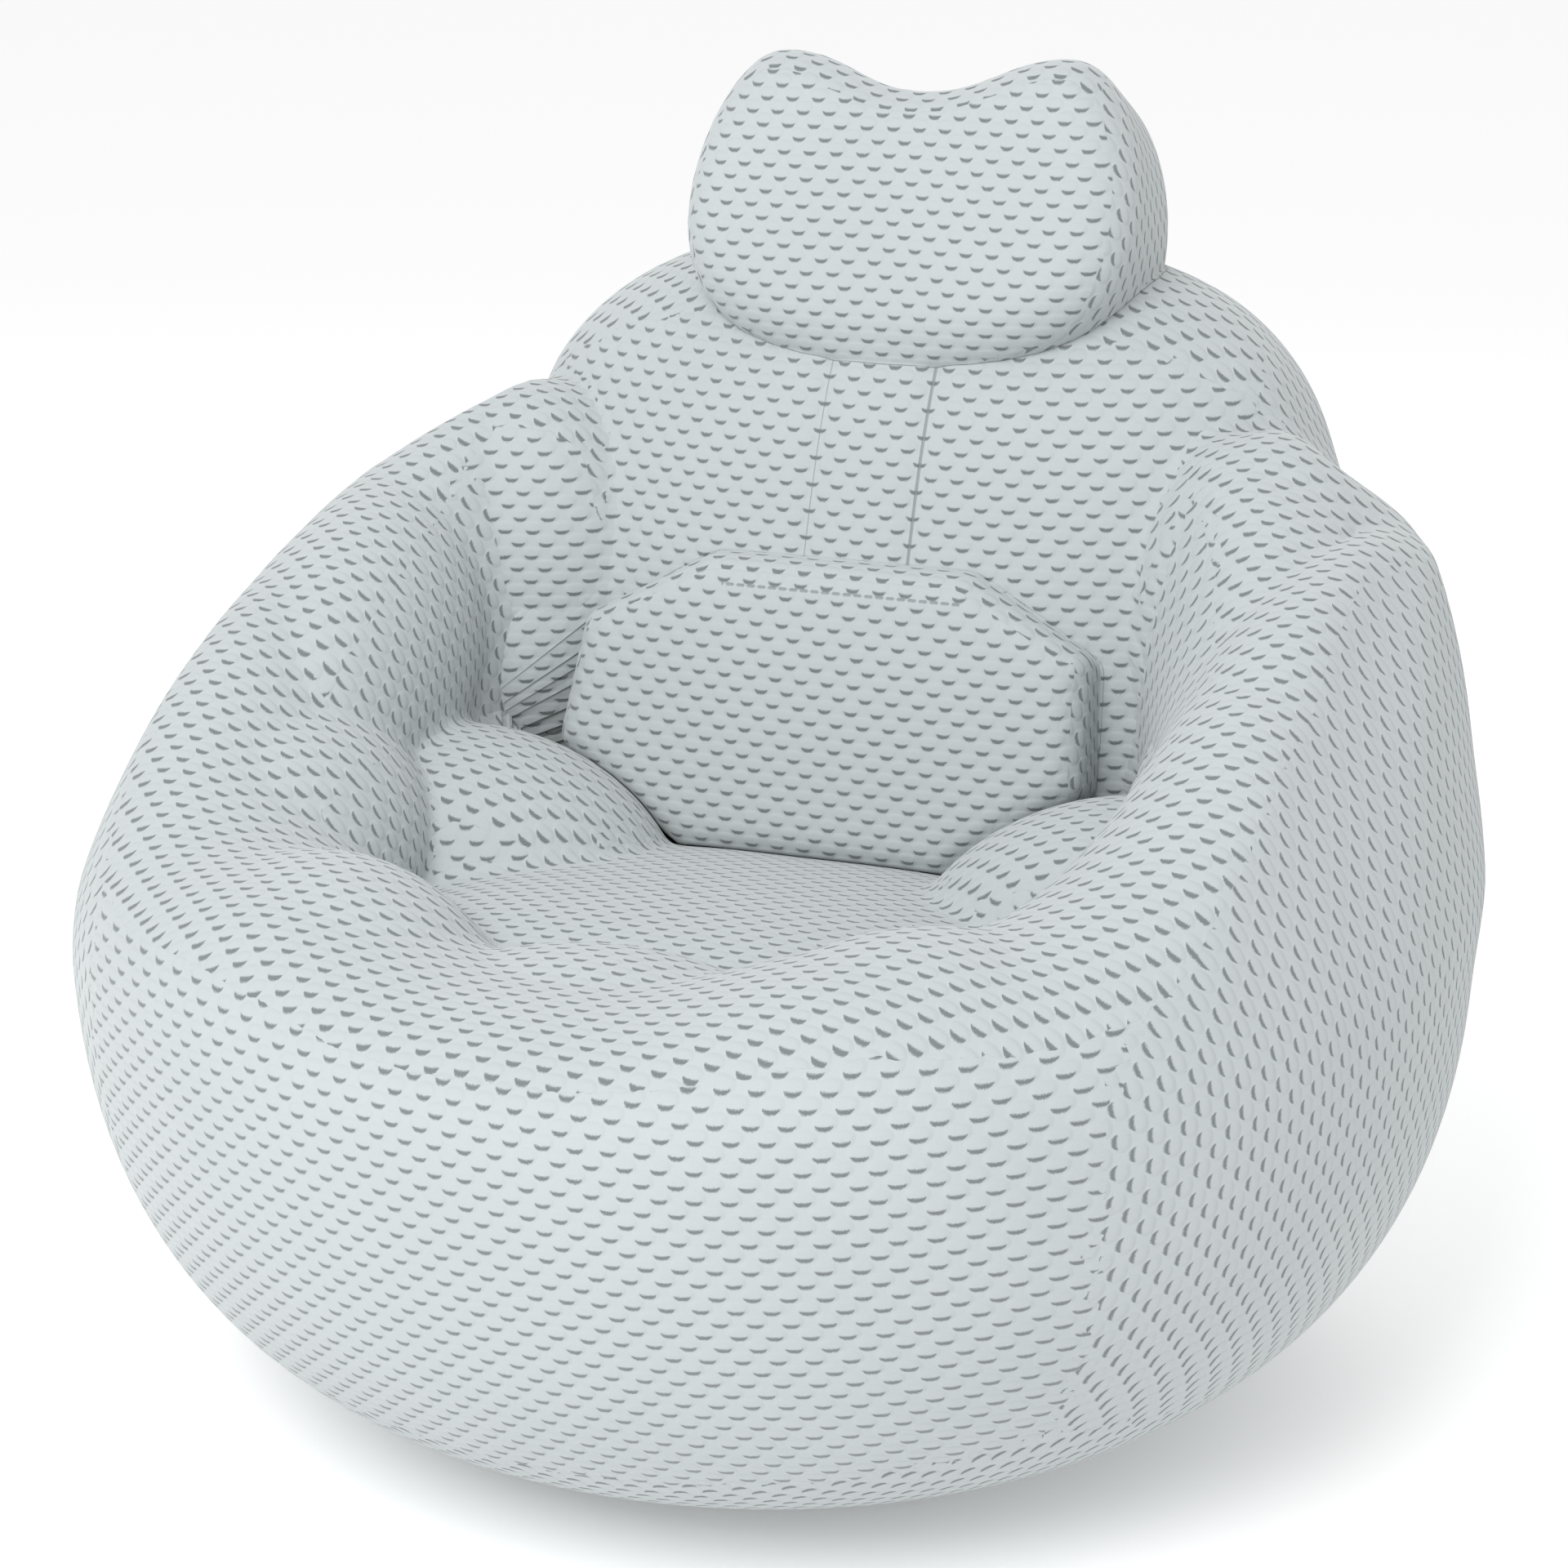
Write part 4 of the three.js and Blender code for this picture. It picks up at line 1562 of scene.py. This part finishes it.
def lumbar_outline() -> list[tuple[float, float]]:
    """The lumbar cushion's eight-cornered face.

    Returns:
        The outline's points, anticlockwise.
    """
    wide, high, low, skew = 0.215, 0.116, 0.127, 0.014
    top, bottom, upper, lower = 0.107, 0.112, 0.056, 0.050
    return [(-bottom, -low), (bottom, -low), (wide, -lower), (wide - 0.004, upper),
            (top, high), (-top, high), (-wide, upper), (-wide - skew, -lower)]


LUMBAR = Pillow(
    name="lumbar", body="lumbar_cushion", outline=lumbar_outline(), thickness=0.084, bevel=0.026,
    centre=(-0.008, 0.118, 0.510), recline=16.0, crown=0.010, dish=0.0, dish_width=1.0, relax_rounds=8,
    fill=0.7, zip_middle=(0.008, -0.127, 0.0), zip_out=(0, -1, 0), zip_across=(0, 0, 1), zip_length=0.140,
)
HEADREST = Pillow(
    name="headrest", body="headrest", outline=headrest_outline(), thickness=0.170, bevel=0.042,
    centre=(0.0, 0.301, 0.866), recline=23.0, crown=0.006, dish=0.008, dish_width=0.065, relax_rounds=10,
    fill=0.8, zip_middle=(0.0, 0.050, -0.085), zip_out=(0, 0, -1), zip_across=(0, 1, 0), zip_length=0.190,
)
LUMBAR_STITCH_RISE = 0.088
LUMBAR_STITCH_HALF = 0.098


def lumbar_seam(g: Graph, position: object) -> object:
    """Distance to the stitched line across the top of the lumbar cushion's face.

    Args:
        g: the graph.
        position: the position's socket.

    Returns:
        The distance's socket.
    """
    up = LUMBAR.axis((0, 1, 0))
    level = up.dot(Vector(LUMBAR.centre)) + LUMBAR_STITCH_RISE
    x, y, z = g.split(position)
    rise = g.math("ADD", g.math("MULTIPLY", y, up.y), g.math("MULTIPLY", z, up.z))
    away = g.math("ABSOLUTE", g.math("SUBTRACT", rise, level))
    ends = g.math("MAXIMUM", g.math("SUBTRACT", g.math("ABSOLUTE", x), LUMBAR_STITCH_HALF), 0.0)
    stitch = g.math("MULTIPLY", g.ramp(g.math("SINE", g.math("MULTIPLY", x, 700.0)), 0.3, 0.7), 0.0012)
    return g.math("ADD", g.math("MAXIMUM", away, ends), stitch)


# ---------------------------------------------------------------- light and camera
@dataclass(frozen=True)
class Lamp:
    """A square soft lamp: its place, the length of its side and its power."""

    place: Triple
    size: float
    power: float


@dataclass(frozen=True)
class Studio:
    """A pale floor, soft light and the camera."""

    target: Triple = (0.0, -0.02, 0.485)
    azimuth: float = 21.2
    elevation: float = 16.75
    distance: float = 2.745
    lens: float = 82.5
    lamps: tuple[Lamp, ...] = (
        Lamp((-0.2, -2.9, 2.9), 2.0, 100.0),
        Lamp((-0.6, 2.6, 2.8), 2.0, 18.0),
    )
    floor_half: float = 30.0
    floor_grey: float = 0.93
    floor_glow: float = 0.18
    sky_strength: float = 0.82

    def add_floor(self) -> None:
        """A wide pale floor."""
        bm = bmesh.new()
        bmesh.ops.create_grid(bm, x_segments=1, y_segments=1, size=self.floor_half)
        floor = mesh_object("studio_floor", bm, smooth=False)
        material, _, shader = Materials.blank("studio floor")
        shader.inputs["Base Color"].default_value = (*[self.floor_grey] * 3, 1.0)
        shader.inputs["Roughness"].default_value = 0.9
        shader.inputs["Emission Color"].default_value = (1.0, 1.0, 1.0, 1.0)
        shader.inputs["Emission Strength"].default_value = self.floor_glow
        floor.data.materials.append(material)

    def add_light(self) -> None:
        """Soft lamps and an even sky."""
        world = bpy.data.worlds.new("studio sky")
        bpy.context.scene.world = world
        world.use_nodes = True
        sky = world.node_tree.nodes["Background"]
        sky.inputs["Color"].default_value = (1.0, 1.0, 1.0, 1.0)
        sky.inputs["Strength"].default_value = self.sky_strength
        bpy.context.scene.view_settings.view_transform = "Standard"
        for index, lamp in enumerate(self.lamps):
            data = bpy.data.lights.new(f"lamp_{index}", "AREA")
            data.energy = lamp.power
            data.size = lamp.size
            light = bpy.data.objects.new(data.name, data)
            light.location = lamp.place
            aim = Vector(self.target) - Vector(lamp.place)
            light.rotation_euler = aim.to_track_quat("-Z", "Y").to_euler()
            bpy.context.scene.collection.objects.link(light)

    def add_camera(self) -> None:
        """The camera, in front of the chair and to its right."""
        turn, rise = math.radians(self.azimuth), math.radians(self.elevation)
        back = Vector((math.sin(turn) * math.cos(rise), -math.cos(turn) * math.cos(rise), math.sin(rise)))
        data = bpy.data.cameras.new("camera")
        data.lens = self.lens
        data.sensor_width = 36.0
        camera = bpy.data.objects.new("camera", data)
        camera.location = Vector(self.target) + back * self.distance
        camera.rotation_euler = (-back).to_track_quat("-Z", "Y").to_euler()
        bpy.context.scene.collection.objects.link(camera)
        bpy.context.scene.camera = camera

    def build(self) -> None:
        """Sets up the whole studio."""
        self.add_floor()
        self.add_light()
        self.add_camera()


# ---------------------------------------------------------------- CAD pieces that show
ZIPS = ("main_zip", "lumbar_zip", "headrest_zip")
ZIP_SLOTS = {
    "tape_upper": "zip_tape",
    "tape_lower": "zip_tape",
    "teeth": "zip_teeth",
    "slider": "zip_metal",
    "stop_left": "zip_metal",
    "stop_right": "zip_metal",
}
FLAT_SLOTS = {
    "base_panel": "anti_slip",
    "headrest_loop_patch": "hook_loop",
    "headrest_hook_patch": "hook_loop",
}


def dress_cad(materials: Materials) -> None:
    """Gives the CAD pieces that show their finishes.

    Args:
        materials: the finishes.
    """
    slots = {f"{prefix}_{part}": slot for prefix in ZIPS for part, slot in ZIP_SLOTS.items()}
    for name, slot in {**slots, **FLAT_SLOTS}.items():
        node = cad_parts.get(name)
        if node is None:
            continue
        node.data.materials.clear()
        node.data.materials.append(materials.plain(slot))
        LOG.info("%s: dressed as %s", name, slot)


def add_inner_layers(body: Body, materials: Materials) -> None:
    """Adds the liners, beads and wadding inside the body's covers.

    Args:
        body: the finished body.
        materials: the finishes.
    """
    for chamber, cover in body.pieces.items():
        name = chamber.value
        middle = body.middle(chamber)
        for layer in BEAD_LAYERS if chamber in BEAD_FILLED else WADDED_LAYERS:
            piece = inner_layer(cover, f"{name}_{layer.piece}", middle, layer.share, layer.voxel)
            finish = materials.plain(layer.slot)
            finish_piece(piece, finish, "chair", [f"{name}_{layer.node}"])


def main() -> None:
    """Builds the chair and its studio in order."""
    logging.basicConfig(level=logging.INFO, format="%(name)s: %(message)s")
    materials = Materials()
    tape_low, tape_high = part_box("main_zip_tape_upper")
    reach = tape_high[1] + ZIP_GAP
    height = tape_low[2] - TEETH_WIDTH / 2 - ZIP_GAP
    main_zip = curved_zip(reach, height, math.asin(tape_high[0] / tape_high[1]))
    body = Body()
    skin = body.build(materials, main_zip)
    LOG.info("body built")
    rest = [skin.tree()]
    HEADREST.build(materials, rest)
    LUMBAR.build(materials, rest, lumbar_seam)
    LOG.info("cushions built")
    add_inner_layers(body, materials)
    dress_cad(materials)
    Studio().build()
    LOG.info("scene ready")


if __name__ == "__main__":
    main()
